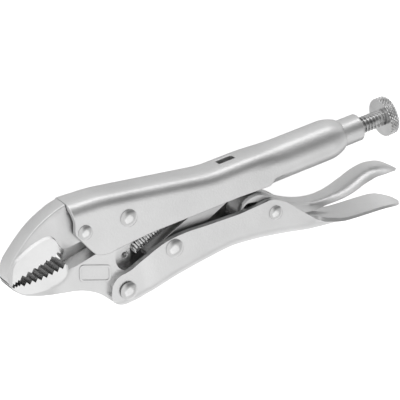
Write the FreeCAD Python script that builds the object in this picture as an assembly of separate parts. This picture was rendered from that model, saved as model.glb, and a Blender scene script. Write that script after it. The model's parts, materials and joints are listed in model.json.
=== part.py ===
"""Curved-jaw locking pliers, closed and locked, lying on their side.

Each function below makes one piece in the tool frame: X runs along the adjusting screw from the jaws to
the knob, Y runs across the tool in the plane of the handles with the fixed handle on top, and Z is the
thickness, zero at mid-thickness. place() then moves everything to the row frame, whose origin is at the
centre of the tool's footprint. Lengths are in millimetres and angles in degrees.
"""

import FreeCAD, Part
import math
import os

from FreeCAD import Vector

# ---- driving dimensions -------------------------------------------------------------------------
# pivots, in the tool frame
JAW_PIVOT = (-27.0, 3.2)
JAW_HANDLE_PIVOT = (-31.7, -19.5)
TOGGLE_PIVOT = (-14.3, -12.0)
RELEASE_PIVOT = (21.6, -13.9)
STAKE_PIVOT = (-41.4, 4.0)

# pressed handles
SHEET = 1.9                     # sheet thickness of both handles
SPINE_BEND = 4.2                # outside bend between spine and cheek
WEB_BEND = 3.5                  # outside bend between web and wall of the lower handle
CHANNEL_FRONT = -45.2           # front end of the fixed handle's spine
CHANNEL_REAR = 22.6             # where the cheeks stop and the tube begins
SPINE_FRONT_Y = 13.7
SPINE_KNEE = (-34.0, 13.0)      # the spine turns down here
SPINE_TAIL_X = 3.0              # and runs parallel to the screw from here
CHEEK_EDGE_Y = -4.3             # lower edge of the cheeks
TUBE_RADIUS = 6.5
TUBE_END = 49.0
TUBE_OVERLAP = 6.0              # tube runs this far into the channel
COLLAR_RADIUS = 4.4
COLLAR_LENGTH = 11.0            # from the tube's end to the collar's
SLOT_START = 8.0                # spring slot in the spine
SLOT_LENGTH = 5.7
SLOT_WIDTH = 2.8
TAB_HEIGHT = 3.2                # spring tab, bent in at the slot's front edge

# jaws
JAW_THICKNESS = 8.7
JAW_TIP = (-66.4, -4.7)
HUB_ROUND = 1.8                 # rounding of the hub's rims, under the spine's bends
LUG_RADIUS = 4.9                # lower jaw, round the lower handle's pivot
EAR_RADIUS = 5.6                # lower handle, round the same pivot
TOOTH_PITCH = 1.95
TOOTH_DEPTH = 1.1
FINE_PITCH = 1.0
FINE_DEPTH = 0.6
FINE_LENGTH = 2.7               # length of the fine rows at the jaw tips
UPPER_ROW_END = (-51.4, -0.9)
LOWER_ROW_END = (-49.0, -4.1)
LOWER_ROW_SAG = 2.6             # four times the hollow of the lower row
RELIEF_CENTRE = (-50.2, -0.6)   # round relief behind the teeth
RELIEF_RADIUS = 1.4
FLANK_SLOPE = 9.7               # the upper jaw's flanks lean in towards its back
FLANK_POINT = (-56.5, 8.8, 2.3) # one point on the leaning flank, at the back
CUTTER_FRONT = (-48.1, -5.0)    # cutting edges meet on this line
CUTTER_REAR = (-38.4, -3.3)
CUTTER_EDGE = 0.3               # width of the flat left on each cutting edge
CUTTER_UPPER_RISE = 4.9         # height of the bevel on the upper jaw
CUTTER_LOWER_FALL = 1.6         # height of the bevel on the lower jaw
NOTCH_CENTRE = (-29.4, -10.0)   # half-round spring notch
NOTCH_RADIUS = 3.6

# lower handle, toggle link and release lever
TONGUE_END = 68.6
LINK_TIP = (12.1, -0.7)         # centre of the rounded end that bears on the screw
LINK_WIDTH = 5.2
LINK_EYE_RADIUS = 3.7
LINK_THICKNESS = 7.0
LEVER_SHEET = 1.6
WING_HALF_WIDTH = 5.6
LEVER_EYE_RADIUS = 4.3
LEVER_LENGTH = 48.0             # from the lever's rivet to its tail
WING_START = 17.0               # from the rivet to where the wing begins to widen
WING_FLARE = 14.0               # over which it widens

# adjusting screw
THREAD_RADIUS = 2.7
THREAD_PITCH = 1.2
THREAD_DEPTH = 0.55
NOSE_RADIUS = 2.0
NOSE_LENGTH = 5.0
KNOB_RADIUS = 6.2
KNOB_THICKNESS = 3.1
SCREW_SHOWN = 7.5               # from the collar's end to the knob
NECK_RADIUS = 2.1
NECK_LENGTH = 1.2

# rivets: shank radius, head radius, head height
PIVOT_RIVET = (2.4, 2.75, 1.0)
JAW_RIVET = (2.3, 2.8, 1.0)
TOGGLE_RIVET = (2.2, 2.95, 1.0)
RELEASE_RIVET = (1.8, 2.35, 0.9)
STAKE_RIVET = (1.5, 1.95, 0.6)

# extension spring
SPRING_RADIUS = 2.3
SPRING_WIRE = 0.9
SPRING_TURNS = 20

# clearances
SIDE_GAP = 0.15                 # each side of a piece that swings inside a channel
RUNNING_FIT = 0.04              # radial, round every rivet
THREAD_FIT = 0.06               # radial, screw in the collar
HUB_GAP = 0.5                   # upper jaw round the lower jaw's hub
SPINE_GAP = 0.35                # lower jaw's hub under the spine
EDGE_GAP = 0.1                  # between the two cutting edges, and at the jaw tips
TOGGLE_GAP = 2.8                # link to screw, where the linkage is opened
STEP_GAP = 0.1                  # upper jaw under the spine
LEVER_GAP = 0.3                 # each side of the release lever
SEAT_GAP = 0.3                  # spring to what it hooks on

# ---- worked out from the above ---------------------------------------------------------------------
HALF_JAW = JAW_THICKNESS / 2
HALF_INSIDE = HALF_JAW + SIDE_GAP
HALF_CHANNEL = HALF_INSIDE + SHEET
COLLAR_END = TUBE_END + COLLAR_LENGTH
KNOB_FACE = COLLAR_END + SCREW_SHOWN
SPINE_SLOPE = (TUBE_RADIUS - SPINE_KNEE[1]) / (SPINE_TAIL_X - SPINE_KNEE[0])
SPINE_OVER_PIVOT = SPINE_KNEE[1] + SPINE_SLOPE * (JAW_PIVOT[0] - SPINE_KNEE[0]) - JAW_PIVOT[1]
HUB_RADIUS = SPINE_OVER_PIVOT / math.hypot(1.0, SPINE_SLOPE) - SHEET - SPINE_GAP
CUTTER_SLOPE = (CUTTER_REAR[1] - CUTTER_FRONT[1]) / (CUTTER_REAR[0] - CUTTER_FRONT[0])
SLOT_END = SLOT_START + SLOT_LENGTH
Z_AXIS = Vector(0, 0, 1)
X_AXIS = Vector(1, 0, 0)


# ---- shape helpers -----------------------------------------------------------------------------------
def unit(dx, dy):
    """Return the unit vector along (dx, dy)."""
    length = math.hypot(dx, dy)
    return dx / length, dy / length


def corner_arc(before, corner, after):
    """Return start, middle and end of the arc that rounds one corner (x, y, radius)."""
    x, y, radius = corner
    ax, ay = unit(before[0] - x, before[1] - y)
    bx, by = unit(after[0] - x, after[1] - y)
    half = math.acos(max(-1.0, min(1.0, ax * bx + ay * by))) / 2
    reach = radius / math.tan(half)
    mx, my = unit(ax + bx, ay + by)
    middle = radius / math.sin(half) - radius
    start = (x + ax * reach, y + ay * reach)
    end = (x + bx * reach, y + by * reach)
    return start, (x + mx * middle, y + my * middle), end


def outline(corners, z=0.0):
    """Return a closed wire through corners (x, y) or (x, y, radius), with the radii rounded."""
    arcs = {}
    joints = []
    count = len(corners)
    for i, corner in enumerate(corners):
        if len(corner) == 2 or corner[2] <= 0:
            joints.append((corner[:2], corner[:2]))
            continue
        start, middle, end = corner_arc(corners[i - 1], corner, corners[(i + 1) % count])
        points = [Vector(p[0], p[1], z) for p in (start, middle, end)]
        arcs[i] = Part.Arc(*points).toShape()
        joints.append((start, end))
    chain = []
    for i in range(count):
        if i in arcs:
            chain.append(arcs[i])
        a = Vector(*joints[i][1], z)
        b = Vector(*joints[(i + 1) % count][0], z)
        if a.distanceToPoint(b) > 1e-6:
            chain.append(Part.LineSegment(a, b).toShape())
    return Part.Wire(Part.__sortEdges__(chain))


def slab(corners, half_thickness):
    """Return a plate of the given outline, centred on mid-thickness."""
    face = Part.Face(outline(corners, -half_thickness))
    return face.extrude(Vector(0, 0, 2 * half_thickness))


def post(centre, radius, half_length):
    """Return a cylinder along Z, centred on mid-thickness."""
    base = Vector(centre[0], centre[1], -half_length)
    return Part.makeCylinder(radius, 2 * half_length, base, Z_AXIS)


def turned(corners):
    """Return the solid that the half outline (x, radius) sweeps round the screw axis."""
    return Part.Face(outline(corners)).revolve(Vector(0, 0, 0), X_AXIS, 360)


def long_edges(shape, half_width, keep):
    """Return the edges in the two side faces whose middles satisfy keep(x, y)."""
    found = []
    for edge in shape.Edges:
        middle = edge.valueAt((edge.FirstParameter + edge.LastParameter) / 2)
        box = edge.BoundBox
        if box.ZLength < 1e-6 and abs(abs(middle.z) - half_width) < 1e-6 and keep(middle.x, middle.y):
            found.append(edge)
    return found


def swept_rod(points, radius):
    """Return a round rod along straight runs between points, with ball joints."""
    rod = Part.makeSphere(radius, points[0])
    for a, b in zip(points, points[1:]):
        rod = rod.fuse(Part.makeCylinder(radius, a.distanceToPoint(b), a, b - a))
        rod = rod.fuse(Part.makeSphere(radius, b))
    return rod


def spine_y(x):
    """Return the height of the outside of the fixed handle's spine at x, corners unrounded."""
    if x <= SPINE_KNEE[0]:
        share = (x - CHANNEL_FRONT) / (SPINE_KNEE[0] - CHANNEL_FRONT)
        return SPINE_FRONT_Y + share * (SPINE_KNEE[1] - SPINE_FRONT_Y)
    if x >= SPINE_TAIL_X:
        return TUBE_RADIUS
    return SPINE_KNEE[1] + SPINE_SLOPE * (x - SPINE_KNEE[0])


def cutter_y(x):
    """Return the height of the line on which the cutting edges meet."""
    return CUTTER_FRONT[1] + CUTTER_SLOPE * (x - CUTTER_FRONT[0])


# ---- fixed handle ----------------------------------------------------------------------------------------
def spine_block(inset, half_width, bend):
    """Return the filled channel, with its spine lowered by inset and rounded by bend."""
    reach = 3 * inset
    lowest = min(JAW_TIP[1], CHEEK_EDGE_Y) * 3
    corners = [
        (CHANNEL_FRONT - reach, SPINE_FRONT_Y - inset),
        (CHANNEL_FRONT - reach, lowest),
        (CHANNEL_REAR, lowest),
        (CHANNEL_REAR, TUBE_RADIUS - inset),
        (SPINE_TAIL_X, TUBE_RADIUS - inset, 30.0),
        (SPINE_KNEE[0], SPINE_KNEE[1] - inset, 30.0),
    ]
    block = slab(corners, half_width)
    spine = long_edges(block, half_width, lambda x, y: y > TUBE_RADIUS - inset - 0.5 and x < CHANNEL_REAR - 0.1)
    return block.makeFillet(bend, [e for e in spine if e.BoundBox.XLength > 1.0])


def cheek_profile():
    """Return the side view that the cheeks are trimmed to."""
    return [
        (CHANNEL_FRONT, SPINE_FRONT_Y + 2),
        (CHANNEL_FRONT + 1.3, STAKE_PIVOT[1] + 2.6, 1.5),
        (STAKE_PIVOT[0] - 3.7, STAKE_PIVOT[1] + 0.4, 1.2),
        (STAKE_PIVOT[0] + 2.2, CHEEK_EDGE_Y - 1.5, 3.2),
        (STAKE_PIVOT[0] + 8.6, CHEEK_EDGE_Y - 1.1, 8.0),
        (STAKE_PIVOT[0] + 19.0, CHEEK_EDGE_Y, 20.0),
        (CHANNEL_REAR - 0.1, CHEEK_EDGE_Y, 1.8),
        (CHANNEL_REAR - 0.1, SPINE_FRONT_Y + 2),
    ]


def fixed_handle():
    """Return the pressed channel that turns into a tube and a collar for the screw."""
    shell = spine_block(0.0, HALF_CHANNEL, SPINE_BEND)
    shell = shell.common(slab(cheek_profile(), HALF_CHANNEL))
    tube = turned([
        (CHANNEL_REAR - TUBE_OVERLAP, 0),
        (CHANNEL_REAR - TUBE_OVERLAP, TUBE_RADIUS),
        (TUBE_END, TUBE_RADIUS, 2.4),
        (TUBE_END + 2.2, COLLAR_RADIUS, 1.6),
        (COLLAR_END, COLLAR_RADIUS, 0.6),
        (COLLAR_END, 0),
    ])
    shell = shell.fuse(tube)
    shell = shell.cut(spine_block(SHEET, HALF_INSIDE, SPINE_BEND - SHEET))
    shell = shell.cut(turned([
        (CHANNEL_REAR - TUBE_OVERLAP - 1, 0),
        (CHANNEL_REAR - TUBE_OVERLAP - 1, TUBE_RADIUS - SHEET),
        (TUBE_END - SHEET, TUBE_RADIUS - SHEET, 1.0),
        (TUBE_END, THREAD_RADIUS + THREAD_FIT),
        (COLLAR_END + 1, THREAD_RADIUS + THREAD_FIT),
        (COLLAR_END + 1, 0),
    ]))
    slot = Part.makeBox(SLOT_LENGTH, 3 * SHEET, SLOT_WIDTH,
                        Vector(SLOT_START, TUBE_RADIUS - 2 * SHEET, -SLOT_WIDTH / 2))
    tab = Part.makeBox(SHEET * 0.7, TAB_HEIGHT, SLOT_WIDTH - 0.4,
                       Vector(SLOT_START - SHEET * 0.7, TUBE_RADIUS - SHEET / 2 - TAB_HEIGHT, 0.2 - SLOT_WIDTH / 2))
    shell = shell.cut(slot).fuse(tab)
    shell = shell.cut(post(JAW_PIVOT, PIVOT_RIVET[0] + RUNNING_FIT, 2 * HALF_CHANNEL))
    return shell.cut(post(STAKE_PIVOT, STAKE_RIVET[0] + RUNNING_FIT, 2 * HALF_CHANNEL)).removeSplitter()


# ---- jaws --------------------------------------------------------------------------------------------------
def tooth_row(start, end, pitch, depth, root):
    """Return zigzag points from start to end, whose roots lie off the line of crests by root(share)."""
    count = max(1, round(math.hypot(end[0] - start[0], end[1] - start[1]) / pitch))
    points = []
    for i in range(count):
        for share, is_root in (((i + 0.0) / count, False), ((i + 0.5) / count, True)):
            x = start[0] + share * (end[0] - start[0])
            y = start[1] + share * (end[1] - start[1]) + root(share)
            points.append((x, y + depth if is_root else y))
    return points


def bevel_wedge(rise, side):
    """Return the wedge that bevels one side of a cutting edge; rise is negative for the lower jaw."""
    outer = HALF_JAW + 1.0
    spread = rise * (outer - CUTTER_EDGE / 2) / (HALF_JAW - CUTTER_EDGE / 2)
    x, y = CUTTER_FRONT
    away = -math.copysign(1.0, rise)
    profile = [(y, CUTTER_EDGE / 2), (y + spread, outer), (y + away, outer), (y + away, CUTTER_EDGE / 2)]
    corners = [Vector(x, a, side * b) for a, b in profile]
    face = Part.Face(Part.makePolygon(corners + corners[:1]))
    return face.extrude(Vector(CUTTER_REAR[0] - x + 4, (CUTTER_REAR[0] - x + 4) * CUTTER_SLOPE, 0))


def flank_relief(side):
    """Return the slanting cut that thins one flank of the upper jaw towards its back."""
    face = outline([
        (-70.0, 0.5),
        (JAW_TIP[0] + 1.6, JAW_TIP[1] + 6.2, 1.0),
        (-57.0, 4.9, 6.0),
        (-50.4, 6.6, 1.8),
        (-49.3, 1.6, 1.0),
        (-46.0, 1.0),
        (-40.0, 1.0),
        (-40.0, 20.0),
        (-70.0, 20.0),
    ], 0.0)
    block = Part.Face(face).extrude(Vector(0, 0, HALF_JAW + 1))
    floor = Part.makeBox(60, 60, 20, Vector(-30, -30, -20))
    floor.rotate(Vector(0, 0, 0), Vector(0.8, 0.6, 0), -FLANK_SLOPE)
    floor.translate(Vector(*FLANK_POINT))
    block = block.cut(floor)
    if side < 0:
        block = block.mirror(Vector(0, 0, 0), Z_AXIS)
    return block


def upper_jaw():
    """Return the forged fixed jaw, with its tail cut round the lower jaw's hub."""
    step = (JAW_TIP[0] + FINE_LENGTH, JAW_TIP[1] + 1.0)
    teeth = tooth_row((JAW_TIP[0], JAW_TIP[1] + EDGE_GAP), step, FINE_PITCH, FINE_DEPTH, lambda s: 0.0)
    teeth += tooth_row(step, UPPER_ROW_END, TOOTH_PITCH, TOOTH_DEPTH, lambda s: 0.0)
    tail_x = JAW_PIVOT[0] - 6.0
    corners = teeth + [
        UPPER_ROW_END,
        (CUTTER_FRONT[0] - 1.4, CUTTER_FRONT[1] + 3.0),
        (CUTTER_FRONT[0], CUTTER_FRONT[1] + EDGE_GAP),
        (CUTTER_REAR[0], CUTTER_REAR[1] + EDGE_GAP),
        (tail_x, CUTTER_REAR[1] + EDGE_GAP),
        (tail_x, spine_y(tail_x) - SHEET - STEP_GAP),
        (CHANNEL_FRONT - STEP_GAP, spine_y(CHANNEL_FRONT) - SHEET - STEP_GAP),
        (CHANNEL_FRONT - STEP_GAP, SPINE_FRONT_Y - 0.4),
        (CHANNEL_FRONT - 12.3, 8.6, 20.0),
        (JAW_TIP[0] - 1.2, JAW_TIP[1] + 3.2, 3.5),
    ]
    nose = Part.makeBox(60, 60, 20, Vector(CHANNEL_FRONT - STEP_GAP - 60, -30, -10))
    tail = spine_block(SHEET + STEP_GAP, HALF_JAW, SPINE_BEND - SHEET)
    jaw = slab(corners, HALF_JAW).common(nose.fuse(tail))
    jaw = jaw.cut(post(JAW_PIVOT, HUB_RADIUS + HUB_GAP, JAW_THICKNESS))
    jaw = jaw.cut(post(RELIEF_CENTRE, RELIEF_RADIUS, JAW_THICKNESS))
    for side in (1, -1):
        jaw = jaw.cut(flank_relief(side))
        jaw = jaw.cut(bevel_wedge(CUTTER_UPPER_RISE, side))
    jaw = jaw.cut(post(STAKE_PIVOT, STAKE_RIVET[0] + RUNNING_FIT, JAW_THICKNESS))
    return jaw.removeSplitter()


def lower_jaw():
    """Return the forged moving jaw: curved toothed row, cutter, spring notch, hub and rear lug."""
    step = (JAW_TIP[0] + FINE_LENGTH, JAW_TIP[1] - 0.1)
    teeth = tooth_row((JAW_TIP[0], JAW_TIP[1] - EDGE_GAP), step, FINE_PITCH, -FINE_DEPTH, lambda s: 0.0)
    teeth += tooth_row(step, LOWER_ROW_END, TOOTH_PITCH, -TOOTH_DEPTH,
                       lambda s: -LOWER_ROW_SAG * s * (1 - s))
    lug_x, lug_y = JAW_HANDLE_PIVOT
    corners = teeth + [
        LOWER_ROW_END,
        (CUTTER_FRONT[0], CUTTER_FRONT[1] - EDGE_GAP),
        (CUTTER_REAR[0], CUTTER_REAR[1] - EDGE_GAP),
        (JAW_PIVOT[0] - HUB_RADIUS * 0.7, CUTTER_REAR[1] - EDGE_GAP),
        (JAW_PIVOT[0], JAW_PIVOT[1]),
        (JAW_PIVOT[0] + HUB_RADIUS * 0.8, JAW_PIVOT[1] - HUB_RADIUS * 0.6),
        (NOTCH_CENTRE[0] + NOTCH_RADIUS, NOTCH_CENTRE[1] + NOTCH_RADIUS, 1.0),
        (NOTCH_CENTRE[0], NOTCH_CENTRE[1] + NOTCH_RADIUS),
        (NOTCH_CENTRE[0], NOTCH_CENTRE[1] - NOTCH_RADIUS),
        (lug_x + LUG_RADIUS * 0.9, lug_y + LUG_RADIUS * 0.8, 1.0),
        (lug_x + LUG_RADIUS * 0.7, lug_y - LUG_RADIUS * 0.7, 2.0),
        (lug_x - LUG_RADIUS * 0.6, lug_y - LUG_RADIUS * 0.8, 2.0),
        (lug_x - 6.4, lug_y - 0.4, 6.0),
        (-46.5, -13.9, 12.0),
        (-62.6, -10.3, 4.0),
        (JAW_TIP[0] - 0.3, JAW_TIP[1] - 1.0, 0.6),
    ]
    jaw = slab(corners, HALF_JAW)
    hub = post(JAW_PIVOT, HUB_RADIUS, HALF_JAW)
    rims = [edge for edge in hub.Edges if edge.BoundBox.ZLength < 1e-6]
    jaw = jaw.fuse(hub.makeFillet(HUB_ROUND, rims))
    jaw = jaw.fuse(post(JAW_HANDLE_PIVOT, LUG_RADIUS, HALF_JAW))
    jaw = jaw.cut(post(NOTCH_CENTRE, NOTCH_RADIUS, JAW_THICKNESS))
    jaw = jaw.cut(post(RELIEF_CENTRE, RELIEF_RADIUS, JAW_THICKNESS))
    for side in (1, -1):
        jaw = jaw.cut(bevel_wedge(-CUTTER_LOWER_FALL, side))
    jaw = jaw.cut(post(JAW_PIVOT, PIVOT_RIVET[0] + RUNNING_FIT, JAW_THICKNESS))
    jaw = jaw.cut(post(JAW_HANDLE_PIVOT, JAW_RIVET[0] + RUNNING_FIT, JAW_THICKNESS))
    return jaw.removeSplitter()


# ---- lower handle ----------------------------------------------------------------------------------------
def web_block(inset, half_width, bend):
    """Return the filled lower channel and tongue, with its web raised by inset and rounded by bend."""
    reach = 3 * inset
    front = JAW_HANDLE_PIVOT[0] - EAR_RADIUS
    low = JAW_HANDLE_PIVOT[1] - EAR_RADIUS
    corners = [
        (front - reach, 0.0),
        (front - reach, low + inset),
        (front + 9.0, low + inset, 6.0),
        (8.0, low + inset + 4.9, 30.0),
        (44.0, low + inset - 2.4, 50.0),
        (TONGUE_END, low + inset - 4.6),
        (TONGUE_END + reach, low + inset - 4.6),
        (TONGUE_END + reach, 0.0),
    ]
    block = slab(corners, half_width)
    web = long_edges(block, half_width, lambda x, y: y < -15.0)
    return block.makeFillet(bend, [e for e in web if e.BoundBox.XLength > 1.0])


def handle_profile():
    """Return the side view that the lower handle's walls are trimmed to."""
    x, y = JAW_HANDLE_PIVOT
    return [
        (x, y + EAR_RADIUS, 0),
        (x + 4.0, y + EAR_RADIUS, 3.0),
        (TOGGLE_PIVOT[0] - 2.6, TOGGLE_PIVOT[1] + 4.1, 6.0),
        (TOGGLE_PIVOT[0] + 5.0, TOGGLE_PIVOT[1] + 3.2, 12.0),
        (RELEASE_PIVOT[0] - 12.0, RELEASE_PIVOT[1] + 4.2, 20.0),
        (RELEASE_PIVOT[0] - 1.5, RELEASE_PIVOT[1] + 5.4, 4.0),
        (RELEASE_PIVOT[0] + 4.0, RELEASE_PIVOT[1] + 2.6, 4.0),
        (RELEASE_PIVOT[0] + 14.0, RELEASE_PIVOT[1] - 8.4, 8.0),
        (RELEASE_PIVOT[0] + 28.0, RELEASE_PIVOT[1] - 12.4, 20.0),
        (TONGUE_END + 1, RELEASE_PIVOT[1] - 13.9),
        (TONGUE_END + 1, y - 16.0),
        (x, y - 16.0),
    ]


def tongue_plan():
    """Return the plan view, as a prism across Y, that rounds the tongue's end."""
    half = HALF_CHANNEL
    points = outline([
        (JAW_HANDLE_PIVOT[0] - 10, -half),
        (TONGUE_END, -half, half * 0.9),
        (TONGUE_END, half, half * 0.9),
        (JAW_HANDLE_PIVOT[0] - 10, half),
    ])
    prism = Part.Face(points).extrude(Vector(0, 0, 60))
    prism.rotate(Vector(0, 0, 0), X_AXIS, 90)
    return prism


def lower_handle():
    """Return the pressed channel that opens upward, with its web carried on as a tongue."""
    shell = web_block(0.0, HALF_CHANNEL, WEB_BEND)
    front = post(JAW_HANDLE_PIVOT, EAR_RADIUS, HALF_CHANNEL)
    trimmed = shell.common(slab(handle_profile(), HALF_CHANNEL))
    shell = trimmed.fuse(front.common(shell))
    shell = shell.common(tongue_plan())
    shell = shell.cut(web_block(SHEET, HALF_INSIDE, WEB_BEND - SHEET))
    x, y = JAW_HANDLE_PIVOT
    mouth = slab([
        (x - 3 * EAR_RADIUS, y + EAR_RADIUS),
        (x - 3 * EAR_RADIUS, y - 2 * EAR_RADIUS),
        (x + EAR_RADIUS + 3.0, y - 2 * EAR_RADIUS),
        (x + EAR_RADIUS + 3.0, y + EAR_RADIUS),
    ], HALF_INSIDE)
    shell = shell.cut(mouth)
    for centre, size in ((JAW_HANDLE_PIVOT, JAW_RIVET), (TOGGLE_PIVOT, TOGGLE_RIVET),
                         (RELEASE_PIVOT, RELEASE_RIVET)):
        shell = shell.cut(post(centre, size[0] + RUNNING_FIT, 2 * HALF_CHANNEL))
    return shell.removeSplitter()


# ---- link and lever ----------------------------------------------------------------------------------------
def toggle_link():
    """Return the flat link from the toggle rivet to the screw's nose."""
    dx, dy = unit(LINK_TIP[0] - TOGGLE_PIVOT[0], LINK_TIP[1] - TOGGLE_PIVOT[1])
    half = LINK_WIDTH / 2
    sides = []
    for (x, y), sign in ((TOGGLE_PIVOT, 1), (LINK_TIP, 1), (LINK_TIP, -1), (TOGGLE_PIVOT, -1)):
        sides.append((x - dy * half * sign, y + dx * half * sign))
    link = slab(sides, LINK_THICKNESS / 2)
    link = link.fuse(post(TOGGLE_PIVOT, LINK_EYE_RADIUS, LINK_THICKNESS / 2))
    link = link.fuse(post(LINK_TIP, half, LINK_THICKNESS / 2))
    return link.cut(post(TOGGLE_PIVOT, TOGGLE_RIVET[0] + RUNNING_FIT, LINK_THICKNESS)).removeSplitter()


def lever_line(lower):
    """Return the side view of the lever's top, from its nose to its tail, lowered by lower."""
    x, y = RELEASE_PIVOT
    return [
        (x - 12.0, y + 2.6 - lower),
        (x - 9.2, y + 6.4 - lower, 2.4),
        (x - 4.2, y + 7.8 - lower, 2.6),
        (x + 4.6, y + 1.8 - lower, 4.0),
        (x + 18.0, y - 3.4 - lower, 16.0),
        (x + 31.0, y - 1.6 - lower, 14.0),
        (x + 37.5, y + 2.0 - lower, 7.0),
        (x + LEVER_LENGTH, y - 3.0 - lower),
    ]


def release_lever():
    """Return the pressed release lever: flanged nose round its rivet and a wing for the hand."""
    upper = lever_line(0.0)
    lower = list(reversed(lever_line(LEVER_SHEET)))
    half = HALF_INSIDE - LEVER_GAP
    web = slab(upper + lower, WING_HALF_WIDTH)
    tail = RELEASE_PIVOT[0] + LEVER_LENGTH
    step = RELEASE_PIVOT[0] + WING_START
    flare = step + WING_FLARE
    plan = Part.Face(outline([
        (0.0, -half),
        (step, -half, 8.0),
        (flare, -WING_HALF_WIDTH, 8.0),
        (tail, -WING_HALF_WIDTH, WING_HALF_WIDTH * 0.9),
        (tail, WING_HALF_WIDTH, WING_HALF_WIDTH * 0.9),
        (flare, WING_HALF_WIDTH, 8.0),
        (step, half, 8.0),
        (0.0, half),
    ])).extrude(Vector(0, 0, 60))
    plan.rotate(Vector(0, 0, 0), X_AXIS, 90)
    web = web.common(plan)
    x, y = RELEASE_PIVOT
    cheek = slab([
        (x - 12.0, y + 2.6),
        (x - 9.2, y + 6.4, 2.4),
        (x - 4.2, y + 7.8, 2.6),
        (x + 4.6, y + 1.8, 4.0),
        (x + 16.0, y - 2.6),
        (x + 12.0, y - 4.6, 6.0),
        (x + 2.0, y - LEVER_EYE_RADIUS, 4.0),
        (x - 6.0, y - LEVER_EYE_RADIUS + 1.0, 3.0),
    ], half)
    cheek = cheek.cut(slab([(x - 20, y - 20), (x + 20, y - 20), (x + 20, y + 20), (x - 20, y + 20)],
                           half - LEVER_SHEET))
    lever = web.fuse(cheek)
    return lever.cut(post(RELEASE_PIVOT, RELEASE_RIVET[0] + RUNNING_FIT, 2 * HALF_CHANNEL)).removeSplitter()


# ---- screw -----------------------------------------------------------------------------------------------------
def screw_start():
    """Return where the threaded shank begins, behind its plain nose."""
    return LINK_TIP[0] + LINK_WIDTH / 2 + TOGGLE_GAP + NOSE_LENGTH


def screw_nose():
    """Return the plain inner end of the screw."""
    end = screw_start()
    return turned([
        (end - NOSE_LENGTH, 0),
        (end - NOSE_LENGTH, NOSE_RADIUS, 0.6),
        (end, NOSE_RADIUS),
        (end, 0),
    ])


def adjusting_screw():
    """Return the threaded shank, its thread cut as rings one pitch apart, with the neck behind it."""
    start = screw_start()
    neck = KNOB_FACE - NECK_LENGTH
    turns = int((neck - start - THREAD_PITCH) / THREAD_PITCH)
    root = THREAD_RADIUS - THREAD_DEPTH
    profile = [(start, 0), (start, root)]
    for i in range(turns):
        x = start + i * THREAD_PITCH
        profile.append((x + THREAD_PITCH * 0.4, THREAD_RADIUS))
        profile.append((x + THREAD_PITCH * 0.6, THREAD_RADIUS))
        profile.append((x + THREAD_PITCH, root))
    profile += [(neck, root), (neck, NECK_RADIUS), (KNOB_FACE, NECK_RADIUS), (KNOB_FACE, 0)]
    return turned(profile)


def knurled_knob():
    """Return the screw's head, a disc with a bevelled rim."""
    back = KNOB_FACE + KNOB_THICKNESS
    return turned([
        (KNOB_FACE, 0),
        (KNOB_FACE, KNOB_RADIUS - 0.5),
        (KNOB_FACE + 0.5, KNOB_RADIUS),
        (back - 0.5, KNOB_RADIUS),
        (back, KNOB_RADIUS - 0.5),
        (back, 0),
    ])


# ---- rivets and spring ---------------------------------------------------------------------------------------------
def dome(centre, radius, height, side):
    """Return one rivet head: a short rim with a spherical cap, on the cheek of the given side."""
    x, y = centre
    rim = height * 0.25
    cap = height - rim
    sphere = (radius * radius + cap * cap) / (2 * cap)
    half_angle = math.asin(radius / sphere) / 2
    points = [(0, 0), (radius, 0), (radius, rim),
              (sphere * math.sin(half_angle), height - sphere * (1 - math.cos(half_angle))), (0, height)]
    low, foot, edge, bulge, top = [Vector(x + a, y, side * (HALF_CHANNEL + b)) for a, b in points]
    half = Part.Wire([
        Part.LineSegment(low, foot).toShape(),
        Part.LineSegment(foot, edge).toShape(),
        Part.Arc(edge, bulge, top).toShape(),
        Part.LineSegment(top, low).toShape(),
    ])
    return Part.Face(half).revolve(low, Z_AXIS, 360)


def rivet(centre, size):
    """Return a rivet through both cheeks, with a domed head on each side."""
    shank, head, height = size
    body = post(centre, shank, HALF_CHANNEL)
    for side in (1, -1):
        body = body.fuse(dome(centre, head, height, side))
    return body.removeSplitter()


def jaw_spring():
    """Return the extension spring: a coil of touching turns with a hook at each end."""
    wire = SPRING_WIRE / 2
    front = Vector(NOTCH_CENTRE[0] - NOTCH_RADIUS + SEAT_GAP + wire, NOTCH_CENTRE[1], 0)
    rear = Vector(SLOT_START - SHEET * 0.7 - SEAT_GAP - wire, TUBE_RADIUS - SHEET - TAB_HEIGHT * 0.4, 0)
    along = (rear - front).normalize()
    length = SPRING_TURNS * SPRING_WIRE
    gap = (front.distanceToPoint(rear) - length) / 2
    profile = [(0, wire), (0, SPRING_RADIUS - wire)]
    for i in range(SPRING_TURNS):
        x = i * SPRING_WIRE
        profile.append((x + 0.25 * SPRING_WIRE, SPRING_RADIUS))
        profile.append((x + 0.75 * SPRING_WIRE, SPRING_RADIUS))
        profile.append((x + SPRING_WIRE, SPRING_RADIUS - wire))
    profile += [(length, wire)]
    coil = turned(profile)
    coil = coil.fuse(Part.makeCylinder(wire * 1.2, length, Vector(0, 0, 0), X_AXIS))
    coil.rotate(Vector(0, 0, 0), Z_AXIS, math.degrees(math.atan2(along.y, along.x)))
    coil.translate(front + along * gap)
    hook = swept_rod([front, front + along * (gap + wire)], wire)
    tail = swept_rod([rear - along * (gap + wire), rear], wire)
    return coil.fuse(hook).fuse(tail).removeSplitter()


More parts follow.
